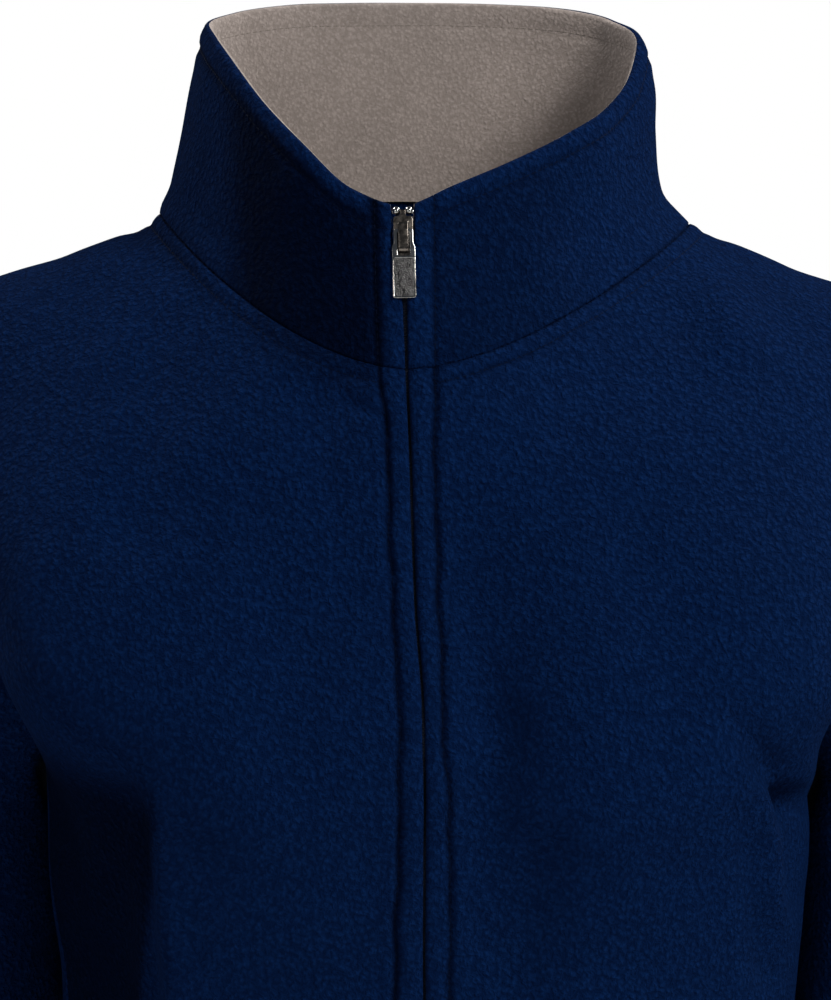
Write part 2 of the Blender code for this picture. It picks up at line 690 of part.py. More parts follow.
def collar_grids(inner_layer):
    """Returns the outer or inner collar layer's two grids."""
    share = np.array(COLLAR_ROWS)
    angle = collar_angles(share, inner_layer)
    shares = np.repeat(share[:, None], angle.shape[1], axis=1)
    if inner_layer:
        shares[-1] = 1.0 - INNER_DROP - INNER_DROP_BACK * ease(0.0, 1.0, -np.cos(angle[-1]))
    face = collar_form(angle, shares)
    normal = collar_normal(angle, shares)
    if not inner_layer:
        wall = np.full(np.shape(shares), COLLAR_WALL)
        outer = face
        inner = face - normal * wall[..., None]
        points, shared, across = neck_frame(angle[0])
        outer[0] = points + across * (SEAM_GAP / 2)
        inner[0] = outer[0] + shared
        return outer, inner
    away = np.minimum(angle, 2.0 * math.pi - angle)
    room = COLLAR_TAPE_ROOM * (1.0 - ease(0.20, 0.34, away))
    depth = COLLAR_WALL + LAYER_GAP + room
    outer = face - normal * depth[..., None]
    inner = outer - normal * COLLAR_WALL
    return outer, inner


def zip_rows():
    """Returns the zip's rows: body ring numbers, then collar shares."""
    body = [r for r in all_body_rows() if r >= TAPE_ROWS_FROM and r < NECK]
    return body, COLLAR_ROWS[:-1] + [0.93]


def zip_strip(low, high, depth, thick, columns, side, widen, stop_share):
    """Returns the grids of a strip that runs along the zip behind the fronts."""
    body, collar = zip_rows()
    collar = [s for s in collar if s <= stop_share]
    height = front_height()
    outer = []
    inner = []
    for where, values in (("body", body), ("collar", collar)):
        for value in values:
            if where == "body":
                reach = float(ring_value("front", value) + ring_value("y_side", value))
                nearest = low
            else:
                reach = float(ring_value("front", NECK)) * (1.0 - value) + COLLAR_REACH * value
                nearest = low
                if widen:
                    nearest = max(low, float(half_open((1.0 - value) * height)) + TAPE_CLEAR)
            offsets = np.linspace(nearest, high, columns)
            angle = side * offsets / reach
            if where == "body":
                ring = np.full(np.shape(angle), float(value))
                face = body_form(angle, ring)
                normal = body_normal(angle, ring)
                if value < 0.5:
                    face = face - normal * HEM_EXTRA
            else:
                part = np.full(np.shape(angle), float(value))
                face = collar_form(angle, part)
                normal = collar_normal(angle, part)
                if value == 0.0:
                    at_neck = body_normal(angle, np.full(np.shape(angle), NECK))
                    normal = unit(normal + at_neck)
            outer.append(face - normal * depth)
            inner.append(face - normal * (depth + thick))
    return np.array(outer), np.array(inner)


def zip_frame():
    """Returns the hinge axis point and the zip's own directions there."""
    top = collar_form(np.array([0.0]), np.array([1.0]))[0]
    low = collar_form(np.array([0.0]), np.array([0.0]))[0]
    down = Vector(low - top).normalized()
    across = Vector((1.0, 0.0, 0.0))
    across = (across - down * across.dot(down)).normalized()
    out = down.cross(across).normalized()
    if out.y > 0.0:
        out = -out
    origin = Vector(top) + down * AXIS_BELOW_TOP
    return origin, across, down, out


def to_zip(points):
    """Places (across, down, out) points of the zip's frame in the world."""
    origin, across, down, out = zip_frame()
    return [tuple(origin + across * a + down * d + out * n) for a, d, n in points]


def prism(name, outline, low, high, material, link=True):
    """Makes a prism from an (across, down) outline, between two out values."""
    count = len(outline)
    points = [(a, d, low) for a, d in outline] + [(a, d, high) for a, d in outline]
    faces = [tuple(range(count)), tuple(range(2 * count - 1, count - 1, -1))]
    for i in range(count):
        k = (i + 1) % count
        faces.append((k, i, count + i, count + k))
    mesh = bpy.data.meshes.new(name)
    mesh.from_pydata(to_zip(points), [], faces)
    if link:
        return finish_mesh(name, mesh, material)
    return cutter_from(name, mesh)


def side_prism(name, outline, half, link, material):
    """Makes a prism from a (down, out) outline, either side of the zip's line."""
    count = len(outline)
    points = [(-half, d, n) for d, n in outline] + [(half, d, n) for d, n in outline]
    faces = [tuple(range(count)), tuple(range(2 * count - 1, count - 1, -1))]
    for i in range(count):
        k = (i + 1) % count
        faces.append((k, i, count + i, count + k))
    mesh = bpy.data.meshes.new(name)
    mesh.from_pydata(to_zip(points), [], faces)
    if link:
        return finish_mesh(name, mesh, material)
    return cutter_from(name, mesh)


def cutter_from(name, mesh):
    """Links a mesh as a hidden cutter."""
    work = bmesh.new()
    work.from_mesh(mesh)
    bmesh.ops.recalc_face_normals(work, faces=work.faces)
    work.to_mesh(mesh)
    work.free()
    item = bpy.data.objects.new(name, mesh)
    item.display_type = "WIRE"
    item.hide_render = True
    GUIDES.objects.link(item)
    return item


def add_boolean(item, cutter, operation):
    """Adds an exact boolean with a cutter."""
    step = item.modifiers.new(operation.lower() + "_" + cutter.name, "BOOLEAN")
    step.operation = operation
    step.solver = "EXACT"
    step.object = cutter


def rounded(wide, top, bottom, radius, steps=3):
    """Returns a rectangle outline with rounded corners, as (across, down)."""
    outline = []
    corners = [(wide - radius, top + radius, -90), (wide - radius, bottom - radius, 0),
               (radius - wide, bottom - radius, 90), (radius - wide, top + radius, 180)]
    for a, d, start in corners:
        for k in range(steps + 1):
            turn = (start + 90.0 * k / steps) * DEG
            outline.append((a + radius * math.cos(turn), d + radius * math.sin(turn)))
    return outline


def build_slider(material):
    """Makes the slider: a tapered body with the bridge that holds the pull."""
    half = SLIDER_WIDE / 2
    foot = SLIDER_FOOT / 2
    outline = [(0.0012, SLIDER_TOP - 0.0006), (0.0016, SLIDER_TOP + 0.0006),
               (half - 0.0012, SLIDER_TOP), (half, SLIDER_TOP + 0.0010),
               (half, SLIDER_TOP + 0.0052), (foot, SLIDER_BOTTOM - 0.0012),
               (foot - 0.0010, SLIDER_BOTTOM)]
    outline = outline + [(-a, d) for a, d in outline[::-1]]
    item = prism("zip_slider", outline, SLIDER_BACK, SLIDER_FRONT, material)
    arch = [(BRIDGE_TOP, SLIDER_FRONT - 0.0003), (BRIDGE_TOP, BRIDGE_OUT - 0.0007),
            (BRIDGE_TOP + 0.0007, BRIDGE_OUT), (BRIDGE_BOTTOM - 0.0007, BRIDGE_OUT),
            (BRIDGE_BOTTOM, BRIDGE_OUT - 0.0007), (BRIDGE_BOTTOM, SLIDER_FRONT - 0.0003),
            (BRIDGE_BOTTOM - BRIDGE_FOOT, SLIDER_FRONT - 0.0003),
            (BRIDGE_BOTTOM - BRIDGE_FOOT, BRIDGE_UNDER),
            (BRIDGE_TOP + BRIDGE_FOOT, BRIDGE_UNDER),
            (BRIDGE_TOP + BRIDGE_FOOT, SLIDER_FRONT - 0.0003)]
    cutter = side_prism("guide_bridge", arch, BRIDGE_WIDE / 2, False, None)
    add_boolean(item, cutter, "UNION")
    return item


def build_pull(material):
    """Makes the pull tab: a bar on the hinge axis, a window and a plate."""
    half = PULL_THICK / 2
    narrow = PULL_TOP_WIDE / 2
    wide = PULL_WIDE / 2
    right = [(narrow - 0.0004, -half), (narrow, -half + 0.0004), (narrow, 0.0048),
             (wide, 0.0068), (wide, PULL_LENGTH - half - 0.0010),
             (wide - 0.0010, PULL_LENGTH - half)]
    outline = right + [(-a, d) for a, d in right[::-1]]
    low = PULL_PIN_OUT - half
    high = PULL_PIN_OUT + half
    item = prism("zip_pull", outline, low, high, material)
    window = prism("guide_window", rounded(WINDOW_WIDE / 2, half, WINDOW_END, 0.0005, 2),
                   low - 0.001, high + 0.001, None, False)
    add_boolean(item, window, "DIFFERENCE")
    recess = prism("guide_recess", rounded(wide - 0.0009, WINDOW_END + 0.0009,
                                           PULL_LENGTH - half - 0.0009, 0.0007, 2),
                   high - PLATE_RECESS, high + 0.001, None, False)
    add_boolean(item, recess, "DIFFERENCE")
    origin = zip_frame()[0] + zip_frame()[3] * PULL_PIN_OUT
    item.data.transform(Matrix.Translation(-origin))
    item.matrix_world = Matrix.Translation(origin)
    return item


def build_stop(name, side, material):
    """Makes one of the two round stops at the top of the zip."""
    outline = []
    for k in range(12):
        turn = math.tau * k / 12
        outline.append((side * STOP_APART + STOP_RADIUS * math.cos(turn),
                        SLIDER_TOP - 0.0031 + STOP_RADIUS * math.sin(turn)))
    return prism(name, outline, -0.0030, 0.0004, material)


def build_box(material):
    """Makes the retainer box at the hem end of the zip."""
    points = []
    for z in (BOX_TOP - 0.0003, BOX_TOP - 0.0095):
        for x, deep in ((-0.0045, 0.0), (0.0045, 0.0), (0.0045, 0.0026), (-0.0045, 0.0026)):
            y = -ring_value("front", 0.1) + WALL + HEM_EXTRA + 0.0012 + deep
            points.append((x, float(y), z))
    faces = [(0, 1, 2, 3), (4, 7, 6, 5), (0, 4, 5, 1), (1, 5, 6, 2), (2, 6, 7, 3), (3, 7, 4, 0)]
    mesh = bpy.data.meshes.new("zip_box")
    mesh.from_pydata(points, [], faces)
    return finish_mesh("zip_box", mesh, material)


for leftover in list(bpy.data.objects):
    bpy.data.objects.remove(leftover, do_unlink=True)

JACKET = bpy.data.collections.new("fleece_zip_jacket")
GUIDES = bpy.data.collections.new("guides")
bpy.context.scene.collection.children.link(JACKET)
bpy.context.scene.collection.children.link(GUIDES)
GUIDES.hide_render = True

NAVY = make_material("navy_fleece", (0.005, 0.016, 0.065), 0.95, 0.0)
GREY = make_material("grey_fleece", (0.19, 0.16, 0.145), 0.95, 0.0)
TAPE = make_material("zip_tape", (0.004, 0.009, 0.030), 0.85, 0.0)
TEETH = make_material("zip_teeth", (0.008, 0.012, 0.030), 0.45, 0.0)
METAL = make_material("dark_nickel", (0.22, 0.21, 0.20), 0.30, 1.0)

build_shell("front_left", *panel_grids(1.0, 1.0), False, NAVY)
build_shell("front_right", *panel_grids(-1.0, 1.0), False, NAVY)
build_shell("back", *panel_grids(1.0, -1.0), False, NAVY)
build_shell("sleeve_left", *sleeve_grids(1.0), True, NAVY)
build_shell("sleeve_right", *sleeve_grids(-1.0), True, NAVY)
build_shell("collar_outer", *collar_grids(False), False, NAVY)
build_shell("collar_inner", *collar_grids(True), False, GREY)
for tape_name, tape_side in (("zip_tape_left", 1.0), ("zip_tape_right", -1.0)):
    strip = zip_strip(TAPE_INNER, TAPE_INNER + TAPE_WIDTH, TAPE_DEPTH, TAPE_THICK, 3,
                      tape_side, True, 0.93)
    build_shell(tape_name, *strip, False, TAPE)
chain = zip_strip(-CHAIN_HALF, CHAIN_HALF, CHAIN_DEPTH, CHAIN_THICK, 3, 1.0, False, 0.65)
build_shell("zip_chain", *chain, False, TEETH)
build_slider(METAL)
build_pull(METAL)
build_stop("zip_stop_left", 1.0, METAL)
build_stop("zip_stop_right", -1.0, METAL)
build_box(TEETH)
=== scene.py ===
"""Fleece zip jacket: the sewn cloth and the zip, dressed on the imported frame.

Metres, +Z up. The front faces -Y, and the wearer's left is +X. Each cloth piece
is a thin double wall laid on one shared form, with rolled edges along its seams,
topstitched troughs and soft folds. The zip is bevelled metal on a woven tape.
"""
import logging
import math
from collections.abc import Callable, Sequence
from dataclasses import dataclass, field
from enum import Enum

import bmesh
import bpy
import numpy as np
from mathutils import Matrix, Vector


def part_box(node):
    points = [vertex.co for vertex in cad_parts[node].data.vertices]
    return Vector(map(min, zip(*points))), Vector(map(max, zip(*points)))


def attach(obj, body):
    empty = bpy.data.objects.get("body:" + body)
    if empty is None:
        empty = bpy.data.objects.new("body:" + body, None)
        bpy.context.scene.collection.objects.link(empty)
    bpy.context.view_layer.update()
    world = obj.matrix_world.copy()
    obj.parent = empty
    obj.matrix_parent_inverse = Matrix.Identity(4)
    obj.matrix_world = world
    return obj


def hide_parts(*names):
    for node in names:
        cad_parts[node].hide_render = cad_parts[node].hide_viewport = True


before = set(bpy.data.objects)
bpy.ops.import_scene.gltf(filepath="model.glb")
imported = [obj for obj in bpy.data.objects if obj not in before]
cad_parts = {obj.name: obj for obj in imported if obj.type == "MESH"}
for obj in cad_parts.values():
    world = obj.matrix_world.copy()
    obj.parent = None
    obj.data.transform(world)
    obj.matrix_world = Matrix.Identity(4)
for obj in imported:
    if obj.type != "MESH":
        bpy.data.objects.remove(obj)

LOG = logging.getLogger("fleece_jacket")
DEG = math.pi / 180.0
MM = 0.001
REAL = "NodeSocketFloat"
# The cloth's own attribute that darkens its colour: pressed nap with painted shade along stitched troughs
# and seams, and painted shade under the neck seam, under the arm and on the collar's fronts.
PAINTED_SHADE_ATTRIBUTE = "pressed"

Array = np.ndarray
Colour = tuple[float, float, float]
Outline = list[tuple[float, float]]
Socket = bpy.types.NodeSocket


class Body(str, Enum):
    """The frame's two bodies."""

    JACKET = "jacket"
    PULL_TAB = "zip_pull_tab"


class Slot(str, Enum):
    """The record's material slots."""

    NAVY = "navy_fleece"
    GREY = "grey_fleece"
    TAPE = "zip_tape"
    TEETH = "zip_teeth"
    METAL = "dark_nickel"


class Side(Enum):
    """The wearer's side that a piece is on, as the sign of its X."""

    LEFT = 1.0
    RIGHT = -1.0

    @property
    def word(self) -> str:
        """The side's name in a node's name."""
        return self.name.lower()


# ---- curves and tables ----


def hermite(t: Array, start: Array, leave: Array, end: Array, arrive: Array) -> Array:
    """Returns a cubic from start to end that leaves and arrives at the given rates."""
    return ((2 * t**3 - 3 * t**2 + 1) * start + (t**3 - 2 * t**2 + t) * leave
            + (3 * t**2 - 2 * t**3) * end + (t**3 - t**2) * arrive)


def smooth(knots: Array, values: Array, at: Array) -> Array:
    """Reads a smooth curve that goes through its knots and doesn't overshoot.

    Args:
        knots: rising places.
        values: the value at each knot.
        at: where to read.

    Returns:
        The curve's values.
    """
    step = np.diff(knots)
    slope = np.diff(values) / step
    tangent = np.zeros(len(values))
    tangent[0] = slope[0]
    tangent[-1] = slope[-1]
    for k in range(1, len(values) - 1):
        if slope[k - 1] * slope[k] > 0.0:
            one = 2.0 * step[k] + step[k - 1]
            two = step[k] + 2.0 * step[k - 1]
            tangent[k] = (one + two) / (one / slope[k - 1] + two / slope[k])
    at = np.clip(np.asarray(at, dtype=float), knots[0], knots[-1])
    k = np.clip(np.searchsorted(knots, at, side="right") - 1, 0, len(step) - 1)
    t = (at - knots[k]) / step[k]
    return hermite(t, values[k], step[k] * tangent[k], values[k + 1], step[k] * tangent[k + 1])


def ease(low: float, high: float, at: Array) -> Array:
    """Returns 0 below low, 1 above high, and a soft change between."""
    t = np.clip((np.asarray(at, dtype=float) - low) / (high - low), 0.0, 1.0)
    return t * t * (3.0 - 2.0 * t)


def unit(vectors: Array) -> Array:
    """Returns the vectors at length one."""
    size = np.linalg.norm(vectors, axis=-1, keepdims=True)
    return vectors / np.maximum(size, 1e-12)


def rolled(distance: Array, radius: float) -> Array:
    """Returns the height of an edge that rolls under along a quarter circle."""
    t = np.clip(distance / radius, 0.0, 1.0)
    return -radius * (1.0 - np.sqrt(np.clip(1.0 - (1.0 - t)**2, 0.0, 1.0)))


def bell(distance: Array, half: float | Array) -> Array:
    """Returns a soft bump of height one and the given half width."""
    return np.exp(-(distance / half)**2)


def spaced(length: float, pitch: float, fine: float, start: float, end: float) -> Array:
    """Returns places along a length, closer together near its ends.

    Args:
        length: the whole length.
        pitch: spacing in the middle.
        fine: spacing within the end zones.
        start: length of the first zone, 0 for none.
        end: length of the last zone, 0 for none.

    Returns:
        Rising shares from 0 to 1.
    """
    parts = []
    if start > 0.0:
        parts.append(np.linspace(0.0, start, max(2, round(start / fine) + 1))[:-1])
    middle = length - start - end
    parts.append(start + np.linspace(0.0, middle, max(2, round(middle / pitch) + 1))[:-1])
    if end > 0.0:
        parts.append(np.linspace(length - end, length, max(2, round(end / fine) + 1))[:-1])
    return np.append(np.concatenate(parts), length) / length


def staged(knots: Sequence[float], counts: Sequence[int]) -> Array:
    """Returns rising places with a number of points of their own between two knots."""
    parts = [np.linspace(low, high, count)[:-1] for low, high, count in zip(knots, knots[1:], counts)]
    return np.append(np.concatenate(parts), knots[-1])


def waves(at: Array, *pairs: tuple[float, float]) -> list[Array]:
    """Returns sine waves along a place, each of a length and a phase."""
    return [np.sin(at * 2.0 * math.pi / length + phase) for length, phase in pairs]


def run_along(points: Array, axis: int) -> Array:
    """Returns how far a grid's points lie along their column (0) or row (1)."""
    step = np.linalg.norm(np.diff(points, axis=axis), axis=-1)
    return np.insert(np.cumsum(step, axis=axis), 0, 0.0, axis=axis)


@dataclass(frozen=True)
class Table:
    """A short table of millimetres and plain numbers, read as smooth curves."""

    columns: tuple[str, ...]
    rows: tuple[tuple[float, ...], ...]
    unitless: tuple[str, ...] = ("ring", "square_front", "square_back", "angle", "share",
                                 "down", "front_angle", "back_angle")

    def column(self, name: str) -> Array:
        """Returns one column, its sizes in metres."""
        index = self.columns.index(name)
        found = np.array([row[index] for row in self.rows], dtype=float)
        return found if name in self.unitless else found * MM

    def at(self, name: str, where: Array) -> Array:
        """Reads one column as a smooth curve over the first column."""
        return smooth(self.column(self.columns[0]), self.column(name), where)


RINGS = Table(
    ("ring", "z_front", "z_side", "z_back", "half_width", "front", "back", "y_side",
     "square_front", "square_back"), (
        (0, -600, -600, -600, 203, 126, 128, 0, 2.25, 2.1),
        (1, -540, -540, -540, 200, 127, 131, 0, 2.25, 2.05),
        (2, -470, -470, -470, 183, 120, 121, 0, 2.25, 2),
        (3, -395, -395, -395, 160, 114, 103, 0, 2.3, 2),
        (4, -325, -325, -325, 153, 121, 108, 0, 2.5, 2),
        (5, -262, -262, -262, 159, 134, 119, 1, 2.9, 2.05),
        (6, -222, -218, -216, 160, 141, 122, 6, 4, 2.15),
        (7, -182, -170, -170, 177, 138, 121, 10, 5, 2.2),
        (8, -143, -98, -112, 188, 130, 112, 14, 4.2, 2.15),
        (9, -115, -33, -56, 194, 122, 98, 16, 2.5, 1.95),
        (10, -87, -12, -10, 150, 114, 81, 8, 1.88, 1.95),
        (11, -60, 3, 15, 108.5, 105, 65, 0, 1.7, 2)))

# The armhole from the shoulder's tip (0) to the armpit (1).
ARMHOLE = Table(
    ("down", "ring", "front_angle", "back_angle"), (
        (0, 9, 90, 90), (0.1, 8.93, 85, 97.5), (0.2, 8.72, 80.5, 104.5), (0.3, 8.36, 77, 110.5),
        (0.4, 7.94, 75, 114), (0.5, 7.5, 74.5, 115.5), (0.6, 7.08, 75, 115), (0.7, 6.7, 76.5, 112),
        (0.8, 6.36, 79.5, 106.5), (0.9, 6.12, 84, 99), (1, 6, 90, 90)))

FRONT_LINE = Table(
    ("z", "x"), (
        (-600, 0), (-300, -1), (-240, -0.7), (-196, -1.3), (-153, -4.4), (-98, -6.4), (-48, -8.6),
        (6, -9.8), (120, -9.8)))

# The first and last rows lie a full turn from others, so that the back is smooth.
COLLAR_TOP = Table(
    ("angle", "x", "y", "z"), (
        (-210, 47, 54, 97.7), (-180, 0, 62, 99.8), (-150, -48, 54, 98.8), (-120, -82.5, 35, 93.6),
        (-90, -92.5, 8, 87.2), (-75, -88.5, -21.5, 79.5), (-60, -80, -50, 66.5),
        (-45, -67, -73.5, 48.5), (-30, -50, -88.5, 30.5), (-15, -30, -95.5, 12.5),
        (0, -9.8, -97, 6), (15, 12, -90, 14.8), (30, 35, -78.5, 25), (45, 56, -63.5, 36),
        (60, 73.5, -43, 48), (75, 85, -17.5, 64), (90, 89.2, 6, 80.5), (120, 79.5, 35, 90.8),
        (150, 47, 54, 97.7), (180, 0, 62, 99.8), (210, -48, 54, 98.8)))

# How far the collar's side stands out from a straight line, seam to top.
COLLAR_SIDE = Table(
    ("share", "left", "right"), (
        (0, 0, 0), (0.08, -3, 1.2), (0.2, -6.4, 1.2), (0.5, -3.4, 0.8), (0.75, 1, 1), (0.9, 1.6, 1),
        (1, 0, 0)))

# Half the opening between the two front edges, by distance below the top.
ZIP_OPENING = Table(
    ("below_top", "half"), (
        (0, 5), (10, 4.6), (21, 4), (25, 2.7), (30, 1.4), (36, 1.1), (50, 0.8), (64, 0.6),
        (1000, 0.6)))

# How far the zip's topstitching lies from its centre line, by height.
ZIP_TOPSTITCH = Table(
    ("z", "left", "right"), (
        (-600, 10.5, 11.5), (-310, 10.4, 11.8), (-255, 10.2, 10.6), (-225, 9, 10), (-200, 7.8, 9.8),
        (-160, 9, 9.2), (-110, 9.6, 9.4), (-78, 10.2, 9.3), (-58, 11.8, 11.8), (-20, 12.6, 12),
        (100, 12.8, 11.8)))

SLEEVE = Table(
    ("share", "x", "y", "z", "wide", "deep", "slant"), (
        (0.3, 211, 45, -240, 58, 60, 24), (0.45, 204, 49, -325, 54.5, 57, 10),
        (0.6, 218, 44, -405, 50, 54, 2), (0.75, 240, 34, -485, 47, 50, 2),
        (0.9, 253, 24, -570, 43, 46, 5), (1, 260, 16, -632, 41, 43, 6)))

# Directions in which a sleeve leaves the armhole.
SLEEVE_START = {"top": (0.93, 0.0, -0.37), "front": (0.82, 0.1, -0.56),
                "under": (0.45, 0.35, -0.82), "back": (0.8, 0.25, -0.55)}

# Soft folds as seen from the front (1) or the back (-1), in millimetres: the line's
# ends as x and z, half width, and height at either end. Less than nothing is a trough.
FOLDS = (
    (1, -72, -205, -66, -222, 46, 9, 9), (1, 82, -202, 76, -222, 48, 9, 9),
    (1, -130, -238, -140, -340, 18, -14, -12), (1, -142, -340, -128, -455, 18, -9, -2),
    (1, -150, -245, -152, -370, 22, -12, -8), (1, 14, -130, 30, -285, 24, -3, -5),
    (1, 135, -345, 60, -410, 20, -4, -2), (1, -120, -395, -50, -440, 22, -4, -2),
    (1, 150, -430, 105, -545, 24, -5, -1), (1, -85, -455, -100, -575, 24, -3, -4),
    (-1, -80, -385, 70, -392, 20, -4, -5), (-1, -30, -432, 110, -422, 20, -2, -4),
    (-1, 130, -190, 85, -300, 22, -5, -2), (-1, -130, -200, -95, -290, 22, -5, -1),
    (-1, 0, -200, 4, -350, 26, -3, -2), (1, 122, -200, 148, -234, 8, -4, -11),
    (1, 150, -240, 150, -272, 8, -10, -6), (1, 136, -230, 142, -275, 7, 3, 4),
    (1, 126, -238, 137, -305, 7, -2, -4), (1, 119, -250, 132, -315, 8, 1, 2),
    (1, -109, -232, -100, -330, 8, 3, 4), (1, -121, -236, -112, -330, 8, -6, -8),
    (1, 12, -118, 27, -200, 12, -1, -4), (1, 27, -200, 21, -290, 12, -4, -3),
    (1, 52, -145, 66, -240, 20, 1, 4), (1, 44, -252, 34, -330, 12, -3, -5),
    (1, -64, -120, -52, -215, 18, -2, -4), (1, -109, -44, -117, -120, 13, -2, -3),
    (1, -46, -66, -32, -150, 11, -2, -2), (1, 105, -12, 126, -45, 12, 2, 3),
    (1, 126, -45, 161, -64, 14, 3, 2), (1, 85, -118, 100, -190, 22, -2, -3),
    (1, -92, -128, -100, -186, 20, -2, -1))

# Sleeve folds: side, angle round the sleeve (0 outside, 90 front, 180 inside) and
# share of its length at either end, then half width and heights in millimetres.
SLEEVE_FOLDS = (
    (1, 200, 0.545, 95, 0.59, 12, -5, -2), (1, 195, 0.62, 80, 0.64, 12, -6, -1),
    (1, 200, 0.7, 120, 0.72, 12, -4, -1), (1, 250, 0.33, 300, 0.46, 15, -4, -1),
    (1, 100, 0.34, 60, 0.48, 15, -3, -1), (-1, 190, 0.56, 110, 0.575, 12, -6, -2),
    (-1, 205, 0.65, 90, 0.625, 12, -5, -1), (-1, 190, 0.745, 130, 0.77, 12, -3, -1),
    (-1, 245, 0.35, 290, 0.49, 15, -4, -2), (-1, 110, 0.36, 75, 0.45, 15, -3, -1),
    (1, 170, 0.585, 110, 0.612, 6, -2, 0), (1, 150, 0.665, 90, 0.668, 7, -2, 0),
    (1, 230, 0.76, 170, 0.8, 8, -2, -1), (1, 120, 0.865, 190, 0.88, 7, -1, -2),
    (-1, 165, 0.602, 105, 0.6, 6, -2, 0), (-1, 160, 0.69, 100, 0.7, 7, -2, 0),
    (-1, 235, 0.8, 180, 0.83, 8, -2, -1), (-1, 110, 0.885, 200, 0.895, 7, -1, -2))


# The small gathers where the neck seam meets the zip, in the same form.
PUCKERS = {
    Side.LEFT: ((15, -66.5, 15.5, -71, 1.2, -0.8, -0.3),),
    Side.RIGHT: ((-33.5, -71.5, -18.5, -80, 2.4, -1.4, -2.6), (-28, -68, -22.5, -75.5, 4.2, 1.5, 1.3))}


def line_height(u: Array, v: Array, line: Sequence[float]) -> Array:
    """Returns the height of a soft ridge along a line.

    Args:
        u: first coordinate of each point.
        v: second coordinate of each point.
        line: the line's ends (u0, v0, u1, v1), half width and two heights.

    Returns:
        The height at each point.
    """
    u0, v0, u1, v1, half, h0, h1 = line
    du = u1 - u0
    dv = v1 - v0
    along = np.clip(((u - u0) * du + (v - v0) * dv) / (du * du + dv * dv), 0.0, 1.0)
    away = np.hypot(u - u0 - along * du, v - v0 - along * dv)
    return (h0 + (h1 - h0) * along) * bell(away, half)


def form_normal(form: Callable[[Array, Array], Array], one: Array, two: Array) -> Array:
    """Returns the outward normals of a form of two numbers."""
    step = 1e-3
    across = form(one + step, two) - form(one - step, two)
    up = form(one, two + step) - form(one, two - step)
    return unit(np.cross(across, up))


# ---- forms ----


@dataclass(frozen=True)
class BodyForm:
    """The jacket's body as a form of angle (0 centre front) and ring number."""

    neck: float = 11.0
    armpit: float = 6.0
    tip: float = 9.0
    lean: float = 0.016
    softening: float = 0.8
    spare_ring: float = 0.002

    def reach(self, ring: Array) -> Array:
        """Returns how far the front lies from the rings' middle."""
        return RINGS.at("front", ring) + RINGS.at("y_side", ring)

    def plain(self, angle: Array, ring: Array) -> Array:
        """Returns the form's points straight from the table."""
        sine = np.sin(angle)
        cosine = np.cos(angle)
        y_side = RINGS.at("y_side", ring)
        ahead = cosine >= 0.0
        depth = np.where(ahead, RINGS.at("front", ring) + y_side, RINGS.at("back", ring) - y_side)
        power = np.where(ahead, RINGS.at("square_front", ring), RINGS.at("square_back", ring))
        wide = RINGS.at("half_width", ring)
        reach = ((np.abs(sine) / wide)**power + (np.abs(cosine) / depth)**power)**(-1.0 / power)
        x = reach * sine
        y = y_side - reach * cosine
        share = np.clip(np.abs(reach * cosine) / depth, 0.0, 1.0)
        end = np.where(ahead, RINGS.at("z_front", ring), RINGS.at("z_back", ring))
        side = RINGS.at("z_side", ring)
        z = side + (end - side) * share**1.6
        z = z - self.lean * x * ease(-0.22, -0.06, z)
        x = x + FRONT_LINE.at("x", z) * np.clip(cosine, 0.0, 1.0)**2
        return np.stack([x, y, z], axis=-1)

    def base(self, angle: Array, ring: Array) -> Array:
        """Returns the form with the chest eased into the shoulder."""
        spread = (self.softening * ease(7.4, 8.6, ring) * (1.0 - ease(9.6, 10.8, ring))
                  * (1.0 - ease(0.9, 0.995, np.abs(np.sin(angle)))))
        return (0.5 * self.plain(angle, ring) + 0.25 * self.plain(angle, ring - spread)
                + 0.25 * self.plain(angle, ring + spread))

    def face(self, angle: Array, ring: Array) -> Array:
        """Returns the outer face with its folds."""
        points = self.base(angle, ring)
        cosine = np.cos(angle)
        height = np.zeros(np.shape(angle))
        for ahead, *line in FOLDS:
            facing = ease(-0.1, 0.25, cosine * ahead)
            height = height + facing * line_height(points[..., 0], points[..., 2], np.array(line) * MM)
        height = height * (1.0 - ease(10.2, 11.0, ring))
        low = np.minimum(ring, self.neck - self.spare_ring)
        return points + form_normal(self.base, angle, low) * height[..., None]

    def normal(self, angle: Array, ring: Array) -> Array:
        """Returns the outward normals of the folded face."""
        inside = np.clip(ring, self.spare_ring, self.neck - self.spare_ring)
        return form_normal(self.face, angle, inside)

    def armhole(self, turn: Array) -> tuple[Array, Array]:
        """Returns ring number and angle on the armhole, by turn round the sleeve."""
        turn = np.mod(turn, 2.0 * math.pi)
        ahead = turn <= math.pi
        down = np.where(ahead, turn, 2.0 * math.pi - turn) / math.pi
        angle = np.where(ahead, ARMHOLE.at("front_angle", down), ARMHOLE.at("back_angle", down))
        return ARMHOLE.at("ring", down), angle * DEG

    def seam_angle(self, ring: Array, ahead: bool) -> Array:
        """Returns the angle of a panel's side edge: side seam, armhole or shoulder."""
        down = np.linspace(1.0, 0.0, 721)
        name = "front_angle" if ahead else "back_angle"
        angle = np.interp(ring, ARMHOLE.at("ring", down), ARMHOLE.at(name, down)) * DEG
        at_arm = (ring > self.armpit) & (ring < self.tip)
        return np.where(at_arm, angle, math.pi / 2)


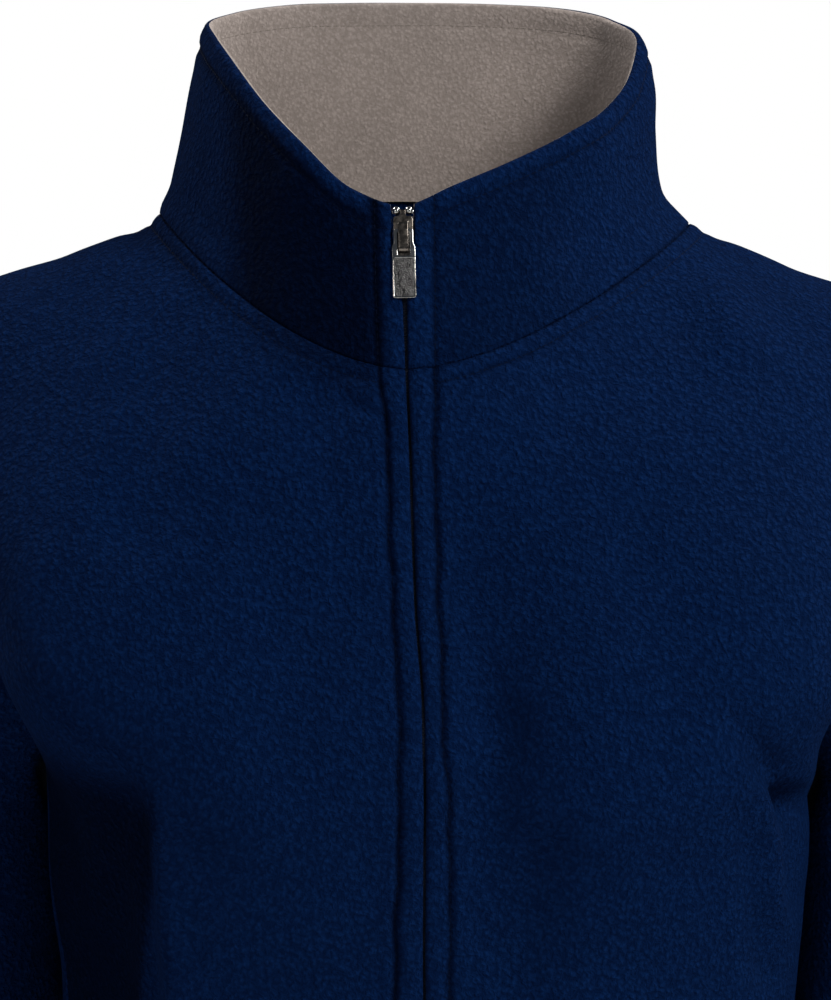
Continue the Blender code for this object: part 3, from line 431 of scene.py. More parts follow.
@dataclass(frozen=True)
class SleeveForm:
    """A sleeve as a form of turn (0 outside, 90 degrees front) and share."""

    body: BodyForm
    side: Side
    first: float = 0.3
    length: float = 0.6
    girth: float = 0.052

    def tube(self, turn: Array, share: Array) -> Array:
        """Returns points below the bicep."""
        x = SLEEVE.at("x", share) + SLEEVE.at("wide", share) * np.cos(turn)
        y = SLEEVE.at("y", share) - SLEEVE.at("deep", share) * np.sin(turn)
        z = SLEEVE.at("z", share) + SLEEVE.at("slant", share) * np.cos(turn)
        return np.stack([self.side.value * x, y, z - self.side.value * self.body.lean * 0.2], axis=-1)

    def start(self, turn: Array) -> Array:
        """Returns the directions in which the sleeve leaves the armhole."""
        weights = {"top": np.clip(np.cos(turn), 0, 1)**2, "front": np.clip(np.sin(turn), 0, 1)**2,
                   "under": np.clip(-np.cos(turn), 0, 1)**2, "back": np.clip(-np.sin(turn), 0, 1)**2}
        way = sum(weights[name][..., None] * np.array(SLEEVE_START[name]) for name in weights)
        return unit(way * np.array([self.side.value, 1.0, 1.0]))

    def base(self, turn: Array, share: Array) -> Array:
        """Returns the cap and the tube without folds."""
        ring, angle = self.body.armhole(turn)
        begin = self.body.face(self.side.value * angle, ring)
        end = self.tube(turn, np.full(np.shape(turn), self.first))
        after = self.tube(turn, np.full(np.shape(turn), self.first + 0.01))
        reach = np.linalg.norm(end - begin, axis=-1, keepdims=True)
        way = self.start(turn) * reach
        way_end = unit(after - end) * reach
        t = np.clip(share / self.first, 0.0, 1.0)[..., None]
        cap = hermite(t, begin, way, end, way_end)
        below = self.tube(turn, np.maximum(share, self.first))
        return np.where((share < self.first)[..., None], cap, below)

    def normal_of(self, form: Callable[[Array, Array], Array], turn: Array, share: Array) -> Array:
        """Returns outward normals of one of the sleeve's forms."""
        inside = np.clip(share, 0.004, 0.996)
        return form_normal(form, turn, inside) * self.side.value

    def face(self, turn: Array, share: Array) -> Array:
        """Returns the outer face with its folds."""
        points = self.base(turn, share)
        round_place = np.mod(turn, 2.0 * math.pi) * self.girth
        long_place = share * self.length
        height = np.zeros(np.shape(turn))
        for side, a0, s0, a1, s1, half, h0, h1 in SLEEVE_FOLDS:
            if side == self.side.value:
                line = (a0 * DEG * self.girth, s0 * self.length, a1 * DEG * self.girth,
                        s1 * self.length, half * MM, h0 * MM, h1 * MM)
                height = height + line_height(round_place, long_place, line)
        height = height * ease(0.02, 0.12, share)
        return points + self.normal_of(self.base, turn, share) * height[..., None]

    def normal(self, turn: Array, share: Array) -> Array:
        """Returns the outward normals of the folded face."""
        return self.normal_of(self.face, turn, share)


@dataclass(frozen=True)
class CollarForm:
    """The stand collar as a form of angle and share, neck seam (0) to top (1)."""

    body: BodyForm

    def top(self, angle: Array) -> Array:
        """Returns points on the top edge."""
        turn = np.mod(angle / DEG + 180.0, 360.0) - 180.0
        return np.stack([COLLAR_TOP.at(name, turn) for name in ("x", "y", "z")], axis=-1)

    def face(self, angle: Array, share: Array) -> Array:
        """Returns the outer face."""
        low = self.body.face(angle, np.full(np.shape(angle), self.body.neck))
        high = self.top(angle)
        part = np.asarray(share)[..., None]
        points = low * (1.0 - part) + high * part
        sine = np.sin(angle)
        out = np.where(sine > 0.0, COLLAR_SIDE.at("left", share), COLLAR_SIDE.at("right", share))
        points[..., 0] = points[..., 0] + out * sine**2 * np.sign(sine)
        return points

    def normal(self, angle: Array, share: Array) -> Array:
        """Returns the outward normals."""
        return form_normal(self.face, angle, np.clip(share, 0.004, 0.996))

    def height(self, angle: Array) -> Array:
        """Returns the collar's height from seam to top."""
        zero = np.zeros(np.shape(angle))
        return np.linalg.norm(self.top(angle) - self.face(angle, zero), axis=-1)

    def reach(self, share: Array) -> Array:
        """Returns how far the front lies from the collar's middle."""
        neck = float(self.body.reach(np.array(self.body.neck)))
        return neck * (1.0 - share) + 0.081 * share


@dataclass(frozen=True)
class ZipFrame:
    """The zip's own directions at the pull's hinge: across, up the zip and out."""

    collar: CollarForm
    below_top: float = 0.0108

    def matrix(self) -> Matrix:
        """Returns the place of (across, up, out) coordinates in the frame."""
        top = Vector(self.collar.face(np.array([0.0]), np.array([1.0]))[0])
        low = Vector(self.collar.face(np.array([0.0]), np.array([0.0]))[0])
        up = (top - low).normalized()
        across = Vector((1.0, 0.0, 0.0))
        across = (across - up * across.dot(up)).normalized()
        out = across.cross(up)
        place = Matrix((across, up, out)).transposed().to_4x4()
        place.translation = top - up * self.below_top
        return place


# ---- sewn lines ----


@dataclass(frozen=True)
class SeamLine:
    """A sewn line: its path, and the outward direction both pieces share on it."""

    path: Array
    middle: Array

    def near(self, points: Array) -> tuple[Array, Array, Array]:
        """Measures points against the line.

        Args:
            points: an array of points, any shape by 3.

        Returns:
            Distance to the line, place along it in metres, and the shared
            direction where the line is nearest.
        """
        flat = points.reshape(-1, 3)
        start = self.path[:-1]
        way = self.path[1:] - start
        size = np.maximum(np.sum(way * way, axis=-1), 1e-14)
        run = np.concatenate([[0.0], np.cumsum(np.sqrt(size))])
        away = np.empty(len(flat))
        along = np.empty(len(flat))
        share = np.empty(len(flat))
        for low in range(0, len(flat), 4096):
            part = flat[low:low + 4096]
            gap = part[:, None, :] - start[None]
            t = np.clip(np.sum(gap * way[None], axis=-1) / size, 0.0, 1.0)
            gap = gap - way[None] * t[..., None]
            square = np.sum(gap * gap, axis=-1)
            best = np.argmin(square, axis=1)
            row = np.arange(len(part))
            away[low:low + 4096] = np.sqrt(square[row, best])
            share[low:low + 4096] = best + t[row, best]
            along[low:low + 4096] = run[best] + t[row, best] * np.sqrt(size[best])
        knot = np.arange(len(self.path))
        middle = np.stack([np.interp(share, knot, self.middle[:, k]) for k in range(3)], axis=-1)
        shape = points.shape[:-1]
        return away.reshape(shape), along.reshape(shape), middle.reshape(points.shape)


@dataclass(frozen=True)
class Topstitch:
    """A row of stitches beside an edge, sunk in a trough with the cloth puffed up."""

    away: float
    depth: float = 0.7 * MM
    half: float = 1.3 * MM
    puff: float = 0.35 * MM
    pucker: float = 0.12 * MM
    uneven: float = 0.3

    def height(self, distance: Array, along: Array) -> Array:
        """Returns the cloth's height beside the edge.

        Args:
            distance: distance from the edge.
            along: place along the edge, in metres.

        Returns:
            The height at each point.
        """
        wave = sum(waves(along, (0.0091, 0.7), (0.0143, 2.1), (0.0237, 4.0))) / 3.0
        off = distance - self.away
        sunk = -self.depth * (1.0 + self.uneven * wave) * bell(off, self.half)
        band = self.puff * bell(distance - 0.5 * self.away, 0.36 * self.away)
        beyond = 0.45 * self.puff * bell(off - 2.6 * self.half, 1.8 * self.half)
        return sunk + band + beyond + self.pucker * wave * bell(off, 4.5 * self.half)


@dataclass(frozen=True)
class Undulation:
    """Slow, shallow unevenness of soft cloth."""

    height: float = 0.3 * MM
    shortest: float = 0.022
    longest: float = 0.075
    waves: int = 16
    seed: int = 7

    def at(self, points: Array) -> Array:
        """Returns the height at each point."""
        rng = np.random.default_rng(self.seed)
        total = np.zeros(points.shape[:-1])
        weight = 0.0
        for _ in range(self.waves):
            way = unit(rng.normal(size=3))
            length = self.shortest * (self.longest / self.shortest)**rng.random()
            phase = rng.random() * 2.0 * math.pi
            share = length / self.longest
            total += share * np.sin(points @ way * 2.0 * math.pi / length + phase)
            weight += share * share
        return self.height * total / math.sqrt(0.5 * weight)


def grid_normals(points: Array, sign: float, closed: bool = False) -> Array:
    """Returns the normals of a grid of points.

    Args:
        points: rows by columns by 3.
        sign: 1 where columns cross rows point outwards, else -1.
        closed: the last column joins the first.

    Returns:
        The outward normals.
    """
    if closed:
        across = np.roll(points, -1, axis=1) - np.roll(points, 1, axis=1)
    else:
        across = np.gradient(points, axis=1)
    return unit(np.cross(across, np.gradient(points, axis=0))) * sign


def level_path(points: Array, amount: Array, level: float, by_row: bool) -> Array:
    """Traces where an amount passes a level, once for each row or column.

    Args:
        points: rows by columns by 3.
        amount: the amount at each point.
        level: the value to trace.
        by_row: look along each row, else along each column.

    Returns:
        The traced points.
    """
    if not by_row:
        points = points.transpose(1, 0, 2)
        amount = amount.T
    found = []
    for line, values in zip(points, amount):
        cross = np.nonzero((values[:-1] - level) * (values[1:] - level) <= 0.0)[0]
        if len(cross):
            k = cross[0]
            step = values[k + 1] - values[k]
            t = 0.5 if abs(step) < 1e-12 else (level - values[k]) / step
            found.append(line[k] * (1.0 - t) + line[k + 1] * t)
    return np.array(found)


# ---- meshes ----


def new_object(name: str, mesh: bpy.types.Mesh) -> bpy.types.Object:
    """Links a mesh to the scene as an object at the origin."""
    item = bpy.data.objects.new(name, mesh)
    bpy.context.scene.collection.objects.link(item)
    return item


@dataclass
class ClothWall:
    """A closed wall of cloth between an outer and an inner grid of points."""

    name: str
    outer: Array
    inner: Array
    sign: float
    closed: bool = False
    # How far painted shade and pressed nap darken the colour at each point.
    pressed: Array | None = None

    def faces(self) -> list[tuple[int, ...]]:
        """Returns the wall's faces, pointing out of the cloth."""
        rows, columns = self.outer.shape[:2]
        shift = rows * columns
        spans = columns if self.closed else columns - 1
        j, i = np.meshgrid(np.arange(rows - 1), np.arange(spans), indexing="ij")
        k = (i + 1) % columns
        quad = np.stack([j * columns + i, j * columns + k, (j + 1) * columns + k,
                         (j + 1) * columns + i], axis=-1).reshape(-1, 4)
        found = [quad, quad[:, ::-1] + shift]
        i = np.arange(spans)
        k = (i + 1) % columns
        top = (rows - 1) * columns
        found.append(np.stack([i, shift + i, shift + k, k], axis=-1))
        found.append(np.stack([top + k, shift + top + k, shift + top + i, top + i], axis=-1))
        if not self.closed:
            low = np.arange(rows - 1) * columns
            high = low + columns
            found.append(np.stack([low, high, shift + high, shift + low], axis=-1))
            low = low + columns - 1
            high = high + columns - 1
            found.append(np.stack([low, shift + low, shift + high, high], axis=-1))
        every = np.concatenate(found)
        if self.sign < 0.0:
            every = every[:, ::-1]
        return every.tolist()

    def area(self) -> float:
        """Returns the outer face's area."""
        across = np.diff(self.outer, axis=1)[:-1]
        up = np.diff(self.outer, axis=0)[:, :-1]
        total = np.linalg.norm(np.cross(across, up), axis=-1).sum()
        if self.closed:
            last = (self.outer[:, 0] - self.outer[:, -1])[:-1]
            total += np.linalg.norm(np.cross(last, np.diff(self.outer[:, -1], axis=0)), axis=-1).sum()
        return float(total)

    def make(self) -> bpy.types.Object:
        """Makes the wall's object, shaded smooth."""
        mesh = bpy.data.meshes.new(self.name)
        points = np.concatenate([self.outer.reshape(-1, 3), self.inner.reshape(-1, 3)])
        mesh.from_pydata(points.tolist(), [], self.faces())
        mesh.shade_smooth()
        mesh.set_sharp_from_angle(angle=70.0 * DEG)
        self.lay_out(mesh)
        # Stores the painted shade and pressed nap as a point attribute that darkens the colour.
        if self.pressed is not None:
            flat = self.pressed.reshape(-1).astype(np.float32)
            layer = mesh.attributes.new(PAINTED_SHADE_ATTRIBUTE, "FLOAT", "POINT")
            layer.data.foreach_set("value", np.concatenate([flat, flat]))
        LOG.info("%s: %.4f square metres", self.name, self.area())
        return new_object(self.name, mesh)

    def lay_out(self, mesh: bpy.types.Mesh) -> None:
        """Adds a UV map in metres: across the cloth, and along it."""
        flat = np.stack([run_along(self.outer, 1), run_along(self.outer, 0)], axis=-1).reshape(-1, 2)
        every = np.concatenate([flat, flat])
        corner = np.empty(len(mesh.loops), dtype=np.int32)
        mesh.loops.foreach_get("vertex_index", corner)
        layer = mesh.uv_layers.new(name="cloth")
        layer.uv.foreach_set("vector", every[corner].astype(np.float32).ravel())


class BevelledPlate:
    """Flat outlines with holes, given a thickness and rounded edges."""

    def __init__(self, place: Matrix, upright: bool = False) -> None:
        """Starts an empty plate.

        Args:
            place: where its (across, up, out) coordinates lie.
            upright: outlines are (up, out) and thickness runs across.
        """
        self.place = place
        self.upright = upright
        self.mesh = bmesh.new()

    def add(self, outlines: Sequence[Sequence[tuple[float, float]]], low: float, high: float,
            bevel: float, slot: int = 0) -> None:
        """Adds one plate.

        Args:
            outlines: the outer outline, then any holes.
            low: its lower face.
            high: its upper face.
            bevel: the edges' radius.
            slot: its material's index.
        """
        curve = bpy.data.curves.new("plate", "CURVE")
        curve.dimensions = "2D"
        curve.fill_mode = "BOTH"
        curve.extrude = (high - low) / 2 - bevel
        curve.bevel_depth = bevel
        curve.bevel_resolution = 3
        curve.offset = -bevel
        for outline in outlines:
            spline = curve.splines.new("POLY")
            spline.points.add(len(outline) - 1)
            for point, (a, b) in zip(spline.points, outline):
                point.co = (a, b, 0.0, 1.0)
            spline.use_cyclic_u = True
        item = bpy.data.objects.new("plate", curve)
        bpy.context.scene.collection.objects.link(item)
        graph = bpy.context.evaluated_depsgraph_get()
        made = bpy.data.meshes.new_from_object(item.evaluated_get(graph))
        middle = (low + high) / 2
        turn = Matrix.Translation((0.0, 0.0, middle))
        if self.upright:
            axes = Matrix(((0, 0, 1, 0), (1, 0, 0, 0), (0, 1, 0, 0), (0, 0, 0, 1)))
            turn = axes @ turn
        made.transform(self.place @ turn)
        for face in made.polygons:
            face.material_index = slot
        self.mesh.from_mesh(made)
        bpy.data.objects.remove(item)
        bpy.data.curves.remove(curve)
        bpy.data.meshes.remove(made)

    def add_knob(self, centre: Sequence[float], radii: Sequence[float]) -> None:
        """Adds a smooth rounded knob at (across, up, out)."""
        size = Matrix.Diagonal((*radii, 1.0))
        move = self.place @ Matrix.Translation(centre) @ size
        bmesh.ops.create_uvsphere(self.mesh, u_segments=24, v_segments=14, radius=1.0, matrix=move)

    def make(self, name: str) -> bpy.types.Object:
        """Makes the joined object."""
        bmesh.ops.remove_doubles(self.mesh, verts=self.mesh.verts, dist=2e-6)
        bmesh.ops.recalc_face_normals(self.mesh, faces=self.mesh.faces)
        mesh = bpy.data.meshes.new(name)
        self.mesh.to_mesh(mesh)
        self.mesh.free()
        mesh.shade_smooth()
        mesh.set_sharp_from_angle(angle=32.0 * DEG)
        return new_object(name, mesh)


def quarter(centre: tuple[float, float], radius: float, start: float, sweep: float = 90.0,
            spans: int = 5) -> Outline:
    """Returns points on a quarter circle.

    Args:
        centre: its middle.
        radius: its radius.
        start: the angle at which it starts, in degrees.
        sweep: how far it turns, in degrees.
        spans: the number of steps.

    Returns:
        The points.
    """
    turns = [(start + sweep * k / spans) * DEG for k in range(spans + 1)]
    return [(centre[0] + radius * math.cos(turn), centre[1] + radius * math.sin(turn)) for turn in turns]


def mirrored(right: Outline) -> Outline:
    """Returns a whole outline from its right half."""
    return right + [(-a, b) for a, b in right[::-1]]


def rounded_box(wide: float, low: float, high: float, radius: float) -> Outline:
    """Returns a rectangle with rounded corners.

    Args:
        wide: half its width.
        low: its lower end.
        high: its upper end.
        radius: the corners' radius.

    Returns:
        The outline's points.
    """
    corners = ((wide - radius, high - radius), (radius - wide, high - radius),
               (radius - wide, low + radius), (wide - radius, low + radius))
    return [point for k, corner in enumerate(corners) for point in quarter(corner, radius, 90.0 * k)]


# ---- node trees ----


class NodeSketch:
    """Adds the nodes of one tree and links them as they are added."""

    def __init__(self, tree: bpy.types.NodeTree) -> None:
        """Starts on a tree."""
        self.tree = tree

    def fill(self, node: bpy.types.Node, inputs: dict[str | int, object]) -> None:
        """Gives a node's inputs, by name or number, their values or links."""
        for name, value in inputs.items():
            socket = node.inputs[name]
            if isinstance(value, Socket):
                self.tree.links.new(value, socket)
            else:
                socket.default_value = value

    def add(self, kind: str, inputs: dict[str | int, object] | None = None,
            **settings: object) -> bpy.types.Node:
        """Adds a node.

        Args:
            kind: the node's type.
            inputs: values or sockets for its inputs, by name or number.
            **settings: attributes to set.

        Returns:
            The node.
        """
        node = self.tree.nodes.new(kind)
        for name, value in settings.items():
            setattr(node, name, value)
        self.fill(node, inputs or {})
        return node

    def math(self, operation: str, one: object, two: object = 0.0) -> Socket:
        """Adds a maths node and returns its result."""
        return self.add("ShaderNodeMath", {0: one, 1: two}, operation=operation).outputs[0]

    def vector_math(self, operation: str, one: object, two: object) -> Socket:
        """Adds a vector maths node; SCALE takes a number as its second input."""
        second = "Scale" if operation == "SCALE" else 1
        node = self.add("ShaderNodeVectorMath", {0: one, second: two}, operation=operation)
        return node.outputs[0]

    def span(self, value: Socket, low: float, high: float, to_low: float = 0.0,
             to_high: float = 1.0) -> Socket:
        """Adds a clamped change of range."""
        ends = {"Value": value, "From Min": low, "From Max": high, "To Min": to_low, "To Max": to_high}
        return self.add("ShaderNodeMapRange", ends).outputs["Result"]

    def noise(self, vector: Socket, scale: object, detail: float, roughness: float = 0.5,
              distortion: float = 0.0) -> bpy.types.NodeOutputs:
        """Adds a noise texture and returns its outputs."""
        inputs = {"Vector": vector, "Scale": scale, "Detail": detail,
                  "Roughness": roughness, "Distortion": distortion}
        return self.add("ShaderNodeTexNoise", inputs).outputs

    def dents(self, vector: Socket, scale: object, smoothness: float) -> Socket:
        """Adds soft round cells and returns the distance to their middles."""
        inputs = {"Vector": vector, "Scale": scale, "Smoothness": smoothness}
        return self.add("ShaderNodeTexVoronoi", inputs, feature="SMOOTH_F1").outputs["Distance"]

    def blend(self, share: Socket, low: Colour, high: Colour) -> Socket:
        """Adds a change between two colours."""
        node = self.add("ShaderNodeMix", {"Factor": share}, data_type="RGBA")
        self.fill(node, {6: (*low, 1.0), 7: (*high, 1.0)})
        return node.outputs[2]


class ShaderGroup:
    """A shader node group that turns a place into masks and heights."""

    def __init__(self, name: str, numbers: dict[str, float], results: Sequence[str]) -> None:
        """Starts the group.

        Args:
            name: the group's name.
            numbers: the named numbers that it takes, with their defaults.
            results: names of the masks and heights that it gives.
        """
        self.tree = bpy.data.node_groups.new(name, "ShaderNodeTree")
        face = self.tree.interface
        face.new_socket("Vector", in_out="INPUT", socket_type="NodeSocketVector")
        for label, value in numbers.items():
            socket = face.new_socket(label, in_out="INPUT", socket_type=REAL)
            socket.default_value = value
        for label in results:
            face.new_socket(label, in_out="OUTPUT", socket_type=REAL)
        self.sketch = NodeSketch(self.tree)
        self.given = self.sketch.add("NodeGroupInput").outputs
        self.result = self.sketch.add("NodeGroupOutput")


def nap_group() -> ShaderGroup:
    """Builds the pebbled nap of fleece: its height, a painted shade that is darker where the nap is low,
    and a slow drift of tone.
    """
    group = ShaderGroup("fleece_nap", {"Pebbles": 430.0, "Fibres": 1500.0, "Drift": 38.0,
                                       "Curl": 0.0011}, ("Height", "Shade", "Slow"))
    sketch = group.sketch
    given = group.given
    vector = given["Vector"]
    curl = sketch.noise(vector, 300.0, 1.0)["Color"]
    centred = sketch.vector_math("SUBTRACT", curl, (0.5, 0.5, 0.5))
    place = sketch.vector_math("ADD", vector, sketch.vector_math("SCALE", centred, given["Curl"]))
    swell = sketch.span(sketch.dents(place, given["Pebbles"], 0.55), 0.62, 0.08)
    ridge = sketch.noise(place, given["Pebbles"], 2.0, 0.62, 0.7)["Fac"]
    fibre = sketch.noise(vector, given["Fibres"], 2.0, 0.6)["Fac"]
    coarse = sketch.math("ADD", sketch.math("MULTIPLY", swell, 0.45),
                         sketch.math("MULTIPLY", sketch.span(ridge, 0.3, 0.7), 0.4))
    height = sketch.math("ADD", coarse, sketch.math("MULTIPLY", sketch.span(fibre, 0.3, 0.7), 0.15))
    slow = sketch.noise(vector, given["Drift"], 3.0, 0.55)["Fac"]
    # Shade is painted shade: the colour is darker in the nap's hollows and lighter on its tops.
    sketch.fill(group.result, {"Height": height, "Shade": sketch.span(height, 0.22, 0.8),
                               "Slow": sketch.span(slow, 0.32, 0.68)})
    return group


def weave_group() -> ShaderGroup:
    """Builds a close twill weave: its height, and a painted shade that is darker where the weave is low.
    """
    group = ShaderGroup("close_weave", {"Ribs": 1600.0}, ("Height", "Shade"))
    sketch = group.sketch
    vector = group.given["Vector"]
    turned = sketch.add("ShaderNodeMapping", {"Vector": vector, "Rotation": (0.0, 0.0, 0.65)})
    ribs = [sketch.add("ShaderNodeTexWave", {"Vector": place, "Scale": group.given["Ribs"],
                                             "Distortion": 0.4}, bands_direction=bands)
            for place, bands in ((turned.outputs[0], "X"), (vector, "Y"))]
    height = sketch.math("MULTIPLY", ribs[0].outputs["Fac"], ribs[1].outputs["Fac"])
    # Shade is painted shade: darker where the weave is low, lighter on its ribs.
    sketch.fill(group.result, {"Height": height, "Shade": sketch.span(height, 0.1, 0.8)})
    return group


def handling_group() -> ShaderGroup:
    """Builds the light handling marks of plated metal: dullness, height and tone."""
    group = ShaderGroup("handled_metal", {"Smudges": 380.0, "Grain": 2600.0},
                        ("Dullness", "Height", "Tone"))
    sketch = group.sketch
    vector = group.given["Vector"]
    smudge = sketch.noise(vector, group.given["Smudges"], 3.0, 0.6)["Fac"]
    grain = sketch.noise(vector, group.given["Grain"], 2.0)["Fac"]
    sketch.fill(group.result, {"Dullness": sketch.span(smudge, 0.35, 0.7),
                               "Tone": sketch.span(smudge, 0.3, 0.75), "Height": grain})
    return group


class ShaderKit:
    """The shared shader groups, each built once."""

    def __init__(self) -> None:
        """Builds every group."""
        self.nap = nap_group()
        self.weave = weave_group()
        self.handling = handling_group()


@dataclass(frozen=True)
class Finish:
    """What every finish has: a name and the two colours that it lies between."""

    name: str
    low: Colour
    high: Colour


class Coat:
    """A material as it is built: its shader and one shader group in its place."""

    def __init__(self, finish: Finish, group: ShaderGroup, numbers: dict[str, float],
                 source: str = "Object") -> None:
        """Starts the material.

        Args:
            finish: its name and colours.
            group: the shader group that it uses.
            numbers: the group's numbers that differ from its defaults.
            source: Object for the object's own place, or UV for the cloth's map.
        """
        self.finish = finish
        self.material = bpy.data.materials.new(finish.name)
        self.material.use_nodes = True
        self.sketch = NodeSketch(self.material.node_tree)
        self.place = self.sketch.add("ShaderNodeTexCoord").outputs[source]
        self.marks = self.sketch.add("ShaderNodeGroup", {"Vector": self.place, **numbers},
                                     node_tree=group.tree).outputs

    def colour(self, mask: str) -> Socket:
        """Returns the finish's colour by one of the group's masks."""
        return self.sketch.blend(self.marks[mask], self.finish.low, self.finish.high)

    def end(self, inputs: dict[str, object], height: Socket, depth: float) -> bpy.types.Material:
        """Ends the material.

        Args:
            inputs: the shader's inputs by name.
            height: what stands up from the surface.
            depth: how far it stands up, in metres.

        Returns:
            The finished material.
        """
        shader = self.material.node_tree.nodes["Principled BSDF"]
        bump = self.sketch.add("ShaderNodeBump", {"Height": height, "Distance": depth, "Strength": 1.0})
        self.sketch.fill(shader, {**inputs, "Normal": bump.outputs["Normal"]})
        return self.material


@dataclass(frozen=True)
class FleeceFinish(Finish):
    """Pebbled fleece: one colour painted darker in the nap's hollows (painted shade), a nap and a soft
    sheen.
    """

    sheen_tint: Colour = (0.1, 0.2, 0.5)
    pebbles: float = 430.0
    fibres: float = 3.4
    nap: float = 2.6 * MM
    drift: float = 0.04
    shine: float = 0.008
    sheen: float = 0.01
    # The colour's share left where the painted shade and pressed nap are full.
    pressed: float = 0.12

    def build(self, kit: ShaderKit) -> bpy.types.Material:
        """Builds the material."""
        coat = Coat(self, kit.nap, {"Pebbles": self.pebbles, "Fibres": self.pebbles * self.fibres})
        sketch = coat.sketch
        slow = sketch.span(coat.marks["Slow"], 0.0, 1.0, 1.0 - self.drift, 1.0 + self.drift)
        # Darkens the colour by the cloth's attribute: painted shade, with pressed nap along the troughs.
        painted_shade_share = sketch.add("ShaderNodeAttribute", attribute_name=PAINTED_SHADE_ATTRIBUTE).outputs["Fac"]
        flat = sketch.span(painted_shade_share, 0.0, 1.0, 1.0, self.pressed)
        # The colour is darker in the nap's hollows: painted shade.
        tint = sketch.vector_math("SCALE", coat.colour("Shade"), sketch.math("MULTIPLY", slow, flat))
        return coat.end({"Base Color": tint, "Roughness": 0.95, "Diffuse Roughness": 0.9,
                         "Specular IOR Level": self.shine, "Sheen Weight": self.sheen,
                         "Sheen Roughness": 0.45, "Sheen Tint": (*self.sheen_tint, 1.0)},
                        coat.marks["Height"], self.nap)


@dataclass(frozen=True)
class WovenFinish(Finish):
    """Woven zip tape or sewing thread."""

    ribs: float = 900.0
    depth: float = 0.12 * MM
    source: str = "Object"
    shine: float = 0.15

    def build(self, kit: ShaderKit) -> bpy.types.Material:
        """Builds the material."""
        coat = Coat(self, kit.weave, {"Ribs": self.ribs}, self.source)
        # The colour is darker where the weave is low: painted shade.
        return coat.end({"Base Color": coat.colour("Shade"), "Roughness": 0.75,
                         "Specular IOR Level": self.shine}, coat.marks["Height"], self.depth)


@dataclass(frozen=True)
class MetalFinish(Finish):
    """Dark plated metal, or moulded teeth where metallic is 0."""

    polish: float
    dull: float
    metallic: float = 1.0
    grain: float = 0.015
    dimples: float = 0.0
    shine: float = 0.5

    def build(self, kit: ShaderKit) -> bpy.types.Material:
        """Builds the material; grain and dimples are depths in millimetres."""
        coat = Coat(self, kit.handling, {})
        sketch = coat.sketch
        rough = sketch.span(coat.marks["Dullness"], 0.0, 1.0, self.polish, self.dull)
        height = sketch.math("MULTIPLY", coat.marks["Height"], self.grain)
        if self.dimples > 0.0:
            dent = sketch.span(sketch.dents(coat.place, 1700.0, 0.3), 0.05, 0.6)
            height = sketch.math("ADD", height, sketch.math("MULTIPLY", dent, self.dimples))
        return coat.end({"Base Color": coat.colour("Tone"), "Roughness": rough,
                         "Metallic": self.metallic, "Specular IOR Level": self.shine}, height, MM)


# ---- repeated pieces, by geometry nodes ----


